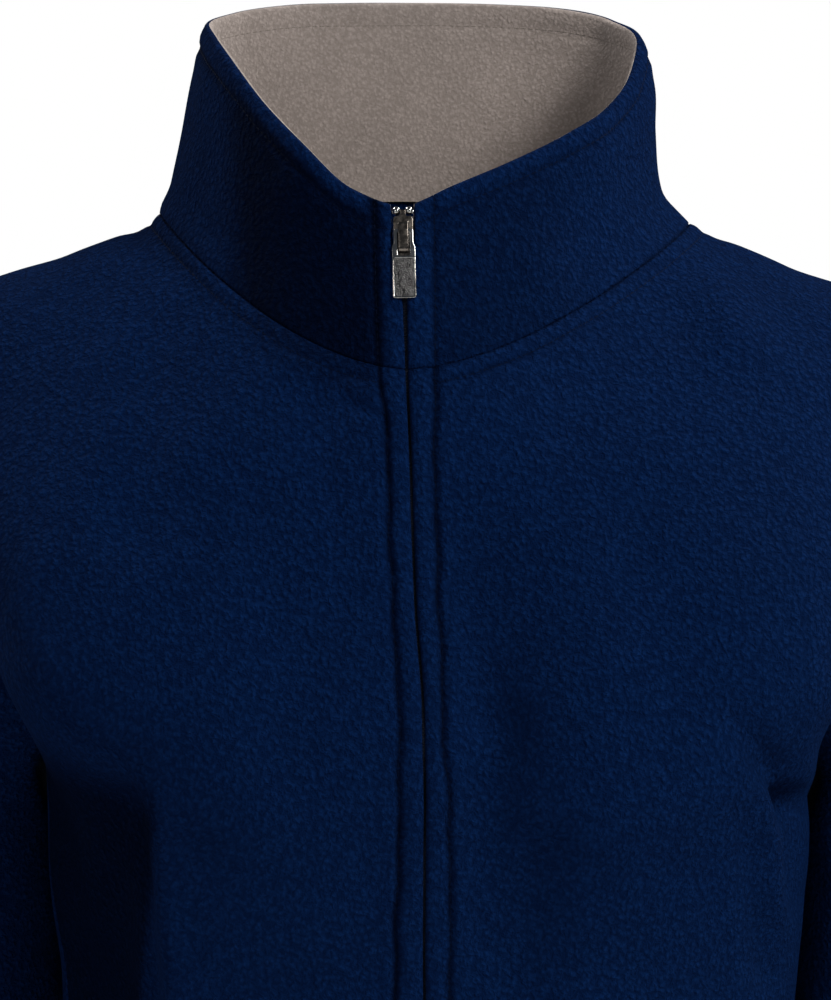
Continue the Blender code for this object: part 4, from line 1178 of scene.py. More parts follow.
class GeometryTree:
    """A geometry node tree with named inputs, used once on a path."""

    def __init__(self, name: str, numbers: dict[str, float]) -> None:
        """Starts the tree.

        Args:
            name: the tree's name.
            numbers: the sizes that it takes by name, with their defaults.
        """
        self.tree = bpy.data.node_groups.new(name, "GeometryNodeTree")
        face = self.tree.interface
        face.new_socket("Geometry", in_out="INPUT", socket_type="NodeSocketGeometry")
        self.keys: dict[str, str] = {}
        for label, value in numbers.items():
            socket = face.new_socket(label, in_out="INPUT", socket_type=REAL)
            socket.default_value = value
            self.keys[label] = socket.identifier
        socket = face.new_socket("Material", in_out="INPUT", socket_type="NodeSocketMaterial")
        self.keys["Material"] = socket.identifier
        face.new_socket("Geometry", in_out="OUTPUT", socket_type="NodeSocketGeometry")
        self.sketch = NodeSketch(self.tree)
        self.given = self.sketch.add("NodeGroupInput").outputs
        self.result = self.sketch.add("NodeGroupOutput")

    def points_along(self, pitch: Socket) -> tuple[bpy.types.NodeOutputs, Socket]:
        """Adds points at a pitch on the path, and the turn of Z along it."""
        curve = self.sketch.add("GeometryNodeMeshToCurve", {0: self.given["Geometry"]})
        points = self.sketch.add("GeometryNodeCurveToPoints",
                                 {"Curve": curve.outputs[0], "Length": pitch}, mode="LENGTH").outputs
        turn = self.sketch.add("FunctionNodeAlignRotationToVector",
                               {"Vector": points["Tangent"]}, axis="Z")
        return points, turn.outputs[0]

    def capsule(self, thick: Socket, length: Socket, axis: int) -> Socket:
        """Adds a rounded capsule, long along one axis."""
        ball = self.sketch.add("GeometryNodeMeshUVSphere", {"Segments": 8, "Rings": 6, "Radius": 1.0})
        parts: dict[str | int, object] = {0: thick, 1: thick, 2: thick}
        parts[axis] = self.sketch.math("MULTIPLY", length, 0.5)
        size = self.sketch.add("ShaderNodeCombineXYZ", parts)
        grown = self.sketch.add("GeometryNodeTransform", {"Geometry": ball.outputs[0],
                                                          "Scale": size.outputs[0]})
        return grown.outputs[0]

    def end(self, points: Socket, piece: Socket, turn: Socket) -> None:
        """Ends the tree with real copies of a piece, in the tree's material."""
        add = self.sketch.add
        copies = add("GeometryNodeInstanceOnPoints", {"Points": points, "Instance": piece,
                                                      "Rotation": turn})
        real = add("GeometryNodeRealizeInstances", {"Geometry": copies.outputs[0]})
        rounded = add("GeometryNodeSetShadeSmooth", {"Geometry": real.outputs[0]})
        painted = add("GeometryNodeSetMaterial", {"Geometry": rounded.outputs[0],
                                                  "Material": self.given["Material"]})
        self.sketch.fill(self.result, {"Geometry": painted.outputs[0]})

    def grow(self, name: str, paths: Sequence[Array], values: dict[str, float],
             material: bpy.types.Material) -> bpy.types.Object:
        """Grows the tree's pieces along paths and keeps them as a plain mesh.

        Args:
            name: the new object's name.
            paths: lists of points.
            values: the tree's sizes by name.
            material: the finish.

        Returns:
            The finished object.
        """
        mesh = bpy.data.meshes.new(name + "_path")
        edges = []
        low = 0
        for path in paths:
            edges += [(low + k, low + k + 1) for k in range(len(path) - 1)]
            low += len(path)
        mesh.from_pydata(np.concatenate(paths).tolist(), edges, [])
        guide = new_object(name + "_path", mesh)
        step = guide.modifiers.new("grow", "NODES")
        step.node_group = self.tree
        for label, value in {**values, "Material": material}.items():
            step[self.keys[label]] = value
        guide.update_tag()
        graph = bpy.context.evaluated_depsgraph_get()
        made = bpy.data.meshes.new_from_object(guide.evaluated_get(graph))
        bpy.data.objects.remove(guide)
        made.name = name
        return new_object(name, made)


def stitch_tree() -> GeometryTree:
    """Builds a row of thread stitches along a path."""
    tree = GeometryTree("stitch_row", {"Pitch": 0.003, "Stitch": 0.0025, "Thread": 0.0002})
    points, turn = tree.points_along(tree.given["Pitch"])
    stitch = tree.capsule(tree.given["Thread"], tree.given["Stitch"], 2)
    tree.end(points["Points"], stitch, turn)
    return tree


def coil_tree() -> GeometryTree:
    """Builds the closed coil of a zip: teeth from either side, in turn."""
    tree = GeometryTree("zip_coil", {"Pitch": 0.0007, "Tooth": 0.003, "Wire": 0.0003, "Apart": 0.0006})
    sketch = tree.sketch
    points, first = tree.points_along(tree.given["Pitch"])
    tooth = tree.capsule(tree.given["Wire"], tree.given["Tooth"], 0)
    turn = sketch.add("FunctionNodeAlignRotationToVector", {"Rotation": first, "Vector": (1.0, 0.0, 0.0)},
                      axis="X", pivot_axis="Z")
    number = sketch.add("GeometryNodeInputIndex").outputs[0]
    odd = sketch.math("MODULO", number, 2.0)
    side = sketch.math("SUBTRACT", sketch.math("MULTIPLY", odd, 2.0), 1.0)
    shift = sketch.add("ShaderNodeCombineXYZ", {0: sketch.math("MULTIPLY", side, tree.given["Apart"])})
    moved = sketch.add("GeometryNodeSetPosition", {"Geometry": points["Points"],
                                                   "Offset": shift.outputs[0]})
    tree.end(moved.outputs[0], tooth, turn.outputs[0])
    return tree


# ---- pieces ----


def dress(item: bpy.types.Object, body: Body, nodes: Sequence[str] = (),
          materials: Sequence[bpy.types.Material] = ()) -> bpy.types.Object:
    """Gives a piece its finish and body, and hides the frame's nodes that it stands for.

    Args:
        item: the piece.
        body: the body that it rides on.
        nodes: the frame's nodes that it replaces.
        materials: its materials, where it has none yet.

    Returns:
        The same piece.
    """
    for material in materials:
        item.data.materials.append(material)
    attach(item, body.value)
    if nodes:
        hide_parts(*nodes)
    item.data.calc_loop_triangles()
    LOG.info("%s: %d triangles", item.name, len(item.data.loop_triangles))
    return item


@dataclass
class Sewing:
    """Paths of topstitching, gathered while the cloth is made."""

    navy: list[Array] = field(default_factory=list)
    grey: list[Array] = field(default_factory=list)
    pitch: float = 3.1 * MM
    stitch: float = 2.6 * MM
    thread: float = 0.16 * MM

    def build(self, finishes: "Finishes") -> None:
        """Makes the stitches of both colours."""
        tree = stitch_tree()
        values = {"Pitch": self.pitch, "Stitch": self.stitch, "Thread": self.thread}
        for name, paths, slot, finish in (
                ("topstitching_navy", self.navy, Slot.NAVY, finishes.navy_thread),
                ("topstitching_grey", self.grey, Slot.GREY, finishes.grey_thread)):
            item = tree.grow(name, [p for p in paths if len(p) > 1], values, finish)
            dress(item, Body.JACKET)


@dataclass
class Finishes:
    """Every material of the jacket."""

    kit: ShaderKit = field(default_factory=ShaderKit)

    def __post_init__(self) -> None:
        """Builds the materials."""
        self.navy = FleeceFinish("navy_fleece_cloth", (0.0008, 0.0054, 0.0265),
                                 (0.0018, 0.0112, 0.0515)).build(self.kit)
        self.grey = FleeceFinish("grey_fleece_cloth", (0.19, 0.162, 0.148),
                                 (0.27, 0.233, 0.216), (0.8, 0.75, 0.7), pebbles=640.0,
                                 nap=0.5 * MM, drift=0.05, shine=0.1, sheen=0.05).build(self.kit)
        self.navy_thread = WovenFinish("navy_thread", (0.0003, 0.0014, 0.007),
                                       (0.0007, 0.003, 0.014), shine=0.04).build(self.kit)
        self.grey_thread = WovenFinish("grey_thread", (0.1, 0.085, 0.075),
                                       (0.18, 0.155, 0.14)).build(self.kit)
        self.tape = WovenFinish("zip_tape_weave", (0.0004, 0.0012, 0.005),
                                (0.0012, 0.0035, 0.013), ribs=400.0, source="UV").build(self.kit)
        self.teeth = MetalFinish("zip_teeth_nylon", (0.001, 0.002, 0.006),
                                 (0.003, 0.005, 0.013), 0.45, 0.65, metallic=0.0,
                                 shine=0.08).build(self.kit)
        self.metal = MetalFinish("plated_metal", (0.055, 0.047, 0.041),
                                 (0.17, 0.15, 0.132), 0.18, 0.34).build(self.kit)
        self.bright = MetalFinish("plated_metal_edge", (0.24, 0.235, 0.23),
                                  (0.42, 0.41, 0.4), 0.12, 0.24).build(self.kit)
        self.beaten = MetalFinish("beaten_metal", (0.028, 0.028, 0.029), (0.095, 0.093, 0.093), 0.26, 0.4,
                                  dimples=0.16).build(self.kit)


@dataclass
class Cloth:
    """What the body's cloth pieces share: the forms, walls, seams and stitching."""

    sewing: Sewing
    finishes: Finishes
    body: BodyForm = BodyForm()
    wall: float = 2.0 * MM
    hem_extra: float = 0.9 * MM
    hem_ends: tuple[float, float] = (0.25, 0.45)
    hem_roll: float = 1.6 * MM
    seam_roll: float = 1.0 * MM
    seam_blend: float = 3.0 * MM
    flare_right: float = 3.0 * MM
    flare_left: float = 1.5 * MM
    flare_sides: tuple[float, float] = (0.06, 0.1)
    flare_below: float = 9.0 * MM
    flare_dip: float = 0.4
    # Pressed nap with painted shade along the neck seam: its depth and half width.
    seam_press: float = 0.35
    press_half: float = 1.0 * MM
    uneven: Undulation = Undulation()
    neck_stitch: Topstitch = Topstitch(away=7.0 * MM, depth=0.55 * MM, half=1.1 * MM, puff=0.4 * MM)
    hem_stitch: Topstitch = Topstitch(away=22.0 * MM, depth=0.8 * MM, half=1.3 * MM, puff=0.5 * MM)

    def __post_init__(self) -> None:
        """Works out the seams that two pieces share."""
        self.collar = CollarForm(self.body)
        self.sleeves = {side: SleeveForm(self.body, side) for side in Side}
        angle = np.linspace(-math.pi, math.pi, 721)
        ring = np.full(angle.shape, self.body.neck)
        middle = unit(self.body.normal(angle, ring) + self.collar.normal(angle, 0 * angle))
        self.neck = SeamLine(self.body.face(angle, ring), middle)
        self.armholes = {side: self.armhole_seam(side) for side in Side}

    def armhole_seam(self, side: Side) -> SeamLine:
        """Returns the seam round one armhole."""
        turn = np.linspace(0.0, 2.0 * math.pi, 361)
        ring, angle = self.body.armhole(turn)
        path = self.body.face(side.value * angle, ring)
        middle = unit(self.body.normal(side.value * angle, ring)
                      + self.sleeves[side].normal(turn, 0.004 + 0 * turn))
        return SeamLine(path, middle)

    def side_seams(self, side: Side) -> list[SeamLine]:
        """Returns one side's armhole, side seam and shoulder seam."""
        found = [self.armholes[side]]
        for low, high in ((0.0, self.body.armpit), (self.body.tip, self.body.neck)):
            ring = np.linspace(low, high, 161)
            angle = np.full(ring.shape, side.value * math.pi / 2)
            found.append(SeamLine(self.body.face(angle, ring), self.body.normal(angle, ring)))
        return found

    def flare(self, x: Array, away: Array, reach: float, dip: float) -> Array:
        """Returns how far the cloth fills the corner at the sides of the neck seam.

        Args:
            x: the points' places across the jacket.
            away: their distances from the seam.
            reach: how far from the seam the corner is filled.
            dip: share by which the cloth sinks again past the corner.

        Returns:
            The height to add.
        """
        size = np.where(x > 0.0, self.flare_left, self.flare_right)
        past = dip * bell(away - 1.5 * reach, 0.6 * reach)
        return (size * ease(*self.flare_sides, np.abs(x)) * (1.0 - ease(0.0, reach, away) - past))

    def settle(self, points: Array, normals: Array, seams: Sequence[SeamLine]) -> tuple[Array, Array]:
        """Rolls a piece's edges into its seams.

        Args:
            points: the piece's points.
            normals: their outward normals.
            seams: the seams along its edges.

        Returns:
            The height to add, and the normals turned to what both pieces share.
        """
        height = np.zeros(points.shape[:-1])
        for seam in seams:
            away, _, middle = seam.near(points)
            height = np.minimum(height, rolled(away, self.seam_roll))
            share = (1.0 - ease(0.0, self.seam_blend, away))[..., None]
            normals = unit(normals * (1.0 - share) + middle * share)
        return height, normals

    def panel_wall(self, ring: Array) -> Array:
        """Returns a panel's thickness, doubled over at the hem."""
        return self.wall + self.hem_extra * (1.0 - ease(*self.hem_ends, ring))

    def seam_pile(self, away: Array) -> Array:
        """Returns the pressed nap with painted shade beside the neck seam."""
        return self.seam_press * bell(away, self.press_half)


@dataclass
class FrontPanel:
    """One front, from the zip's edge to the side seam, armhole and shoulder."""

    cloth: Cloth
    side: Side
    gap: float = 0.55 * MM
    edge_roll: float = 1.9 * MM
    strip_puff: float = 1.0 * MM
    beyond_puff: float = 0.35 * MM
    stitch_depth: float = 1.8 * MM
    stitch_half: float = 1.45 * MM
    least_wall: float = 0.7 * MM
    sway: float = 0.3 * MM
    clear: tuple[float, float] = (0.008, 0.014)
    neck_stitch_fades: tuple[float, float] = (0.05, 0.09)
    # How far each mark darkens the colour: pressed nap with painted shade in the zip's trough and the
    # neck stitching, painted shadow of the collar under the neck seam, and painted shade under the arm.
    strip_press: float = 0.75
    neck_press: float = 0.45
    lying_pile: float = 0.45
    arm_pile: float = 0.78
    tape_reach: float = 17.0 * MM
    deepest: float = 2.2 * MM
    flat: tuple[float, float] = (0.27, 0.628)
    sewn_from: int = 20
    edge_offsets: tuple[float, ...] = (
        0.0, 0.12, 0.3, 0.55, 0.85, 1.2, 1.65, 2.2, 2.9, 3.6, 4.3, 5.0, 5.7, 6.4, 7.1,
        7.7, 8.3, 8.9, 9.5, 10.1, 10.7, 11.3, 12.0, 12.8, 13.8, 15.0)

    def angles(self, rows: Array) -> tuple[Array, Array]:
        """Returns each row's column angles and distances from the zip's line."""
        reach = self.cloth.body.reach(rows)
        offset = self.gap + np.array(self.edge_offsets) * MM
        near = offset[None, :] / reach[:, None]
        last = near[:, -1:]
        far = self.cloth.body.seam_angle(rows, True)[:, None]
        share = spaced(0.225, 2.3 * MM, 0.6 * MM, 0.0, 5.0 * MM)[1:]
        angle = np.concatenate([near, last + share[None, :] * (far - last)], axis=1)
        return angle, angle * reach[:, None]

    def zip_stitch(self, z: Array, run: Array) -> Array:
        """Returns the topstitching's distance from the zip's line, a little unsteady."""
        wave = waves(run, (0.031, self.side.value), (0.052, 0.0))
        return ZIP_TOPSTITCH.at(self.side.word, z) + self.sway * sum(wave)

    def strip_height(self, away: Array, z: Array, run: Array) -> Array:
        """Returns the raised band along the zip and its topstitched trough."""
        stitch = self.zip_stitch(z, run)
        fine, slow = waves(run, (0.0125, self.side.value), (0.041, 0.0))
        deep = self.stitch_depth * (1.15 if self.side is Side.RIGHT else 0.85)
        trough = -deep * (1.0 + 0.2 * fine * slow) * bell(away - stitch, self.stitch_half)
        beyond = self.beyond_puff * bell(away - stitch - 3.6 * MM, 2.6 * MM)
        band = self.strip_puff * (1.0 + 0.35 * fine * slow) * bell(away - 0.5 * stitch, 0.34 * stitch)
        return rolled(away - self.gap, self.edge_roll) + trough + band + beyond

    def lying(self, base: Array, away: Array, neck_away: Array) -> Array:
        """Returns the painted shadow of the collar under the neck seam, and the painted shade under the
        arm.

        Args:
            base: the panel's points.
            away: their distances from the zip's line.
            neck_away: their distances from the neck seam.

        Returns:
            The share by which painted shade darkens the colour.
        """
        if self.side is Side.LEFT:
            return np.zeros(away.shape)
        # Painted shadow of the collar below the neck seam, beside the zip.
        under_neck = (self.lying_pile * (1.0 - ease(0.002, 0.022, neck_away))
                      * ease(0.006, 0.014, away) * (1.0 - ease(0.06, 0.095, away)))
        # Painted shade under the arm, with a sharp front edge.
        x = base[..., 0]
        z = base[..., 2]
        edge = -0.1035 + 0.105 * (z + 0.226)
        under_arm = (ease(0.0, 0.005, edge - x) * ease(0.222, 0.245, -z - 0.35 * (x + 0.104))
                     * (1.0 - ease(0.38, 0.46, -z)))
        return np.maximum(under_neck, self.arm_pile * under_arm)

    def puckers(self, base: Array) -> Array:
        """Returns the small gathers where the neck seam meets the zip."""
        return sum(line_height(base[..., 0], base[..., 2], np.array(line) * MM)
                   for line in PUCKERS[self.side])

    def build(self) -> bpy.types.Object:
        """Makes the panel."""
        cloth = self.cloth
        body = cloth.body
        rows = staged((0.0, 0.1, 0.55, body.armpit, body.tip, 10.84, body.neck), (9, 14, 108, 84, 42, 12))
        angle, away = self.angles(rows)
        ring = np.repeat(rows[:, None], angle.shape[1], axis=1)
        base = body.face(self.side.value * angle, ring)
        height, normals = cloth.settle(base, grid_normals(base, self.side.value),
                                       [cloth.neck, *cloth.side_seams(self.side)])
        run = run_along(base, 0)
        neck_away, neck_along, _ = cloth.neck.near(base)
        clear = ease(*self.clear, away)
        fade = 1.0 if self.side is Side.RIGHT else 1.0 - 0.6 * ease(*self.neck_stitch_fades, away)
        height = (height + self.strip_height(away, base[..., 2], run)
                  + cloth.neck_stitch.height(neck_away, neck_along) * clear * fade
                  + cloth.hem_stitch.height(run, away) * clear
                  + rolled(run, cloth.hem_roll) + cloth.uneven.at(base) + self.puckers(base)
                  + cloth.flare(base[..., 0], neck_away, cloth.flare_below, cloth.flare_dip))
        height = np.where(away < self.tape_reach, np.maximum(height, -self.deepest), height)
        outer = base + normals * height[..., None]
        thick = np.maximum(cloth.panel_wall(ring), self.least_wall - height)
        inner = base - normals * thick[..., None]
        stitch = away - self.zip_stitch(base[..., 2], run)
        # Darkening of the colour: pressed nap with painted shade along the zip's trough, the neck
        # stitching and the neck seam, and painted shade under the neck seam and the arm.
        row = bell(neck_away - cloth.neck_stitch.away, cloth.press_half) * clear * fade
        pressed = np.max([self.strip_press * bell(stitch, self.stitch_half),
                          self.neck_press * row, cloth.seam_pile(neck_away),
                          self.lying(base, away, neck_away)], axis=0)
        sewn = np.s_[:, self.sewn_from:]
        cloth.sewing.navy += [
            level_path(outer, stitch, 0.0, True),
            level_path(outer[sewn], neck_away[sewn], cloth.neck_stitch.away, False),
            level_path(outer[sewn], run[sewn], cloth.hem_stitch.away, False)]
        name = f"front_{self.side.word}"
        wall = ClothWall(name + "_cloth", outer, inner, self.side.value, pressed=pressed)
        item = dress(wall.make(), Body.JACKET, [name], [cloth.finishes.navy])
        return item


@dataclass
class BackPanel:
    """The back, from one side seam round to the other."""

    cloth: Cloth
    flat: tuple[float, float] = (0.52, 0.63)

    def build(self) -> bpy.types.Object:
        """Makes the panel."""
        cloth = self.cloth
        body = cloth.body
        rows = staged((0.0, 0.1, 0.55, body.armpit, body.tip, 10.88, body.neck), (8, 12, 88, 70, 40, 9))
        share = spaced(0.45, 3.2 * MM, 0.8 * MM, 4.0 * MM, 4.0 * MM)
        edge = body.seam_angle(rows, False)[:, None]
        angle = edge + share[None, :] * (2.0 * math.pi - 2.0 * edge)
        ring = np.repeat(rows[:, None], angle.shape[1], axis=1)
        base = body.face(angle, ring)
        seams = [cloth.neck]
        for side in Side:
            seams += cloth.side_seams(side)
        height, normals = cloth.settle(base, grid_normals(base, 1.0), seams)
        run = run_along(base, 0)
        neck_away, neck_along, _ = cloth.neck.near(base)
        height = (height + cloth.neck_stitch.height(neck_away, neck_along)
                  + cloth.hem_stitch.height(run, run_along(base, 1))
                  + rolled(run, cloth.hem_roll) + cloth.uneven.at(base)
                  + cloth.flare(base[..., 0], neck_away, cloth.flare_below, cloth.flare_dip))
        outer = base + normals * height[..., None]
        inner = base - normals * cloth.panel_wall(ring)[..., None]
        cloth.sewing.navy += [level_path(outer, neck_away, cloth.neck_stitch.away, False),
                              level_path(outer, run, cloth.hem_stitch.away, False)]
        wall = ClothWall("back_cloth", outer, inner, 1.0)
        item = dress(wall.make(), Body.JACKET, ["back"], [cloth.finishes.navy])
        return item


@dataclass
class Sleeve:
    """One set-in sleeve, from the armhole to the turned cuff."""

    cloth: Cloth
    side: Side
    columns: int = 118
    seam_depth: float = 1.0 * MM
    seam_half: float = 1.2 * MM
    cuff_ends: tuple[float, float] = (0.955, 0.97)
    cuff_stitch: Topstitch = Topstitch(away=22.0 * MM, depth=0.8 * MM, half=1.3 * MM, puff=0.4 * MM)
    flat: tuple[float, float] = (0.4, 0.62)

    def build(self) -> bpy.types.Object:
        """Makes the sleeve."""
        cloth = self.cloth
        form = cloth.sleeves[self.side]
        share = staged((0.0, 0.018, 0.95, 0.99, 1.0), (10, 176, 12, 8))
        turn = np.linspace(0.0, 2.0 * math.pi, self.columns + 1)[:-1]
        turns, shares = np.meshgrid(turn, share)
        base = form.face(turns, shares)
        height, normals = cloth.settle(base, grid_normals(base, self.side.value, True),
                                       [cloth.armholes[self.side]])
        run = run_along(base, 0)
        below = run[-1:] - run
        seam = bell(np.abs(turns - math.pi) * form.girth, self.seam_half)
        height = (height + self.cuff_stitch.height(below, turns * form.girth)
                  + rolled(below, cloth.hem_roll) + cloth.uneven.at(base)
                  - self.seam_depth * seam * ease(0.0, 0.004, run))
        outer = base + normals * height[..., None]
        thick = cloth.wall + cloth.hem_extra * ease(*self.cuff_ends, shares)
        inner = base - normals * thick[..., None]
        ring = level_path(outer, below, self.cuff_stitch.away, False)
        cloth.sewing.navy.append(np.concatenate([ring, ring[:1]]))
        name = f"sleeve_{self.side.word}"
        wall = ClothWall(name + "_cloth", outer, inner, self.side.value, True)
        item = dress(wall.make(), Body.JACKET, [name], [cloth.finishes.navy])
        return item


@dataclass(frozen=True)
class CollarFront:
    """What differs between the collar's two fronts."""

    side: Side
    stitch: Topstitch
    trough: float
    trough_half: float
    # The trough and row presses darken the colour along the stitched troughs: pressed nap with painted
    # shade. The last three give painted shade on the front, fading away from the zip.
    trough_press: float
    row_half: float
    row_press: float
    pile: float
    pile_from: float
    pile_to: float

    def strip(self, z: Array) -> Array:
        """Returns how far the zip's topstitching lies from its line."""
        return ZIP_TOPSTITCH.at(self.side.word, z)

    def lying(self, away: Array) -> Array:
        """Returns the painted shade on this front, fading away from the zip's line."""
        return self.pile * (1.0 - ease(self.pile_from, self.pile_to, away))


# Each front's darkening is painted shade on its front near the zip, with pressed nap and painted shade in
# its troughs.
COLLAR_FRONTS = (
    CollarFront(Side.LEFT, Topstitch(away=8.6 * MM, depth=0.8 * MM, half=1.5 * MM,
                                     puff=0.55 * MM),
                trough=1.2 * MM, trough_half=1.2 * MM, trough_press=0.6, row_half=1.0 * MM,
                row_press=0.45, pile=0.35, pile_from=0.04, pile_to=0.1),
    CollarFront(Side.RIGHT, Topstitch(away=10.8 * MM, depth=0.9 * MM, half=1.8 * MM,
                                      puff=0.6 * MM),
                trough=1.5 * MM, trough_half=2.6 * MM, trough_press=1.0, row_half=1.9 * MM,
                row_press=0.8, pile=0.8, pile_from=0.07, pile_to=0.1))


@dataclass
class StandCollar:
    """The navy collar and its grey inner layer, joined in a rolled top edge."""

    cloth: Cloth
    roll: float = 1.9 * MM
    layer: float = 1.5 * MM
    thin: float = 0.25 * MM
    seam_front: float = 84.0
    seam_back: float = 112.0
    inner_edge: float = 4.6 * MM
    tape_room: float = 2.2 * MM
    band_puff: float = 0.8 * MM
    outer_edge_roll: float = 1.4 * MM
    inner_edge_roll: float = 1.2 * MM
    flare_above: float = 16.0 * MM
    beside: tuple[float, float] = (0.001, 0.006)
    strip_columns: int = 40
    edge_offsets: tuple[float, ...] = (
        0.0, 0.15, 0.4, 0.75, 1.2, 1.8, 2.6, 3.6, 4.8, 6.0, 7.2, 8.4, 9.4, 10.3, 11.1,
        11.8, 12.5, 13.3, 14.3, 15.6)
    inner_stitch: Topstitch = Topstitch(away=9.8 * MM, depth=0.55 * MM, half=1.6 * MM, puff=0.45 * MM)

    def angles(self, share: Array, nearest: Array) -> tuple[Array, Array]:
        """Lays out the columns of each row.

        Args:
            share: each row's share of the collar's height.
            nearest: each row's least distance from the zip's line.

        Returns:
            Angles, from the left front edge round the back to the right one, and
            distances from the zip's line.
        """
        reach = self.cloth.collar.reach(share)[:, None]
        offset = nearest[:, None] + np.array(self.edge_offsets)[None, :] * MM
        near = offset / reach
        last = near[:, -1:]
        middle = spaced(0.56, 2.1 * MM, 2.1 * MM, 0.0, 0.0)[1:-1]
        span = 2.0 * math.pi - 2.0 * last
        angle = np.concatenate([near, last + middle[None, :] * span,
                                2.0 * math.pi - near[:, ::-1]], axis=1)
        return angle, np.minimum(angle, 2.0 * math.pi - angle) * reach

    def rolled_rows(self, upright: Array, edge: float) -> tuple[Array, ...]:
        """Lays out the grid: straight rows up the stand, then round the top.

        Args:
            upright: shares of the straight part, rising.
            edge: least distance of the front edges from the zip's line.

        Returns:
            Angles, share of each row below the roll, each row's share of the arc
            (0 on the straight part), and distances from the zip's line and from
            the front edge.
        """
        arc = np.linspace(0.0, 1.0, 8)[1:]
        below = np.concatenate([upright, np.ones(len(arc))])
        turn = np.concatenate([np.zeros(len(upright)), arc])
        tall = float(self.cloth.collar.height(np.array([0.0]))[0])
        under_top = (1.0 - below) * (tall - self.roll) + self.roll * (1.0 - turn)
        nearest = np.maximum(ZIP_OPENING.at("half", under_top), edge)
        angle, away = self.angles(np.clip(1.0 - under_top / tall, 0.0, 1.0), nearest)
        below = np.repeat(below[:, None], angle.shape[1], axis=1)
        turn = np.repeat(turn[:, None], angle.shape[1], axis=1)
        return angle, below, turn, away, away - nearest[:, None]

    def skeleton(self, angle: Array, below: Array) -> tuple[Array, Array, Array, Array]:
        """Returns face points, normals, up directions and distance to the top."""
        form = self.cloth.collar
        tall = form.height(angle)
        share = below * (1.0 - self.roll / tall)
        up = unit(form.top(angle) - form.face(angle, 1.0 - self.roll / tall))
        return form.face(angle, share), form.normal(angle, share), up, tall * (1.0 - share)

    def seam_turn(self, angle: Array) -> Array:
        """Returns how far round the top the two layers are joined."""
        back = ease(-0.2, 0.8, -np.cos(angle))
        return (self.seam_front + (self.seam_back - self.seam_front) * back) * DEG

    def layer_at(self, turn: Array) -> Array:
        """Returns a layer's thickness, thinner where it rolls into the top seam."""
        return self.layer + (self.thin - self.layer) * ease(0.0, 0.8, turn)

    def rolled_faces(self, face: Array, normal: Array, up: Array, phi: Array,
                     heights: Sequence[Array]) -> list[Array]:
        """Returns grids of points at heights round the top edge's own middle.

        Args:
            face: points of the collar's face.
            normal: its normals.
            up: its up directions.
            phi: how far each point is turned from the normal to the up direction.
            heights: each grid's distances from the middle.
        """
        ray = normal * np.cos(phi)[..., None] + up * np.sin(phi)[..., None]
        centre = face - normal * self.roll
        return [centre + ray * height[..., None] for height in heights]

    def build_outer(self) -> bpy.types.Object:
        """Makes the navy layer."""
        cloth = self.cloth
        upright = spaced(0.075, 1.9 * MM, 0.5 * MM, 4.0 * MM, 0.0)
        angle, below, turn, away, from_edge = self.rolled_rows(upright, 0.0)
        face, normal, up, to_top = self.skeleton(angle, below)
        neck_away, neck_along, _ = cloth.neck.near(face)
        height, normal = cloth.settle(face, normal, [cloth.neck])
        left = np.sin(angle) > 0.0

        def front(read: Callable[[CollarFront], Array | float]) -> Array:
            """Reads something of each front for its own side of the grid."""
            return np.where(left, *(read(one) for one in COLLAR_FRONTS))

        stitch = front(lambda one: one.stitch.height(to_top, neck_along))
        zip_away = front(lambda one: one.strip(face[..., 2]))
        to_strip = away - zip_away
        half = front(lambda one: one.trough_half)
        trough = front(lambda one: -one.trough) * bell(to_strip, half)
        band = self.band_puff * bell(away - 0.45 * zip_away, 0.32 * zip_away)
        flat = 1.0 - turn
        wide = ease(*self.beside, from_edge)
        height = height + (stitch * wide + trough + band + cloth.uneven.at(face)) * flat
        height = (height + rolled(from_edge, self.outer_edge_roll)
                  + cloth.flare(face[..., 0], neck_away, self.flare_above, 0.0) * flat)
        thick = np.maximum(self.layer_at(turn), (0.5 * MM - height) * flat)
        thick = np.minimum(thick, self.roll - 0.1 * MM + 0.4 * MM * flat)
        outer, inner = self.rolled_faces(face, normal, up, turn * self.seam_turn(angle),
                                         [self.roll + height, self.roll - thick])
        to_row = to_top - front(lambda one: one.stitch.away)
        row = front(lambda one: one.row_press * bell(to_row, one.row_half)) * wide
        # Darkening of the colour: painted shade on the fronts near the zip, and pressed nap with painted
        # shade along the troughs, the stitching and the neck seam.
        lying = (front(lambda one: one.lying(away)) * ease(0.008, 0.016, away)
                 * ease(0.003, 0.009, to_top))
        pressed = np.max([front(lambda one: one.trough_press) * bell(to_strip, 1.15 * half),
                          row * flat, cloth.seam_pile(neck_away), lying * flat], axis=0)
        rows = len(upright)
        cloth.sewing.navy.append(level_path(outer[:rows], to_row[:rows], 0.0, False))
        for strip in (np.s_[:rows, :self.strip_columns], np.s_[:rows, -self.strip_columns:]):
            cloth.sewing.navy.append(level_path(outer[strip], to_strip[strip], 0.0, True))
        wall = ClothWall("collar_outer_cloth", outer, inner, 1.0, pressed=pressed)
        item = dress(wall.make(), Body.JACKET, ["collar_outer"], [cloth.finishes.navy])
        return item

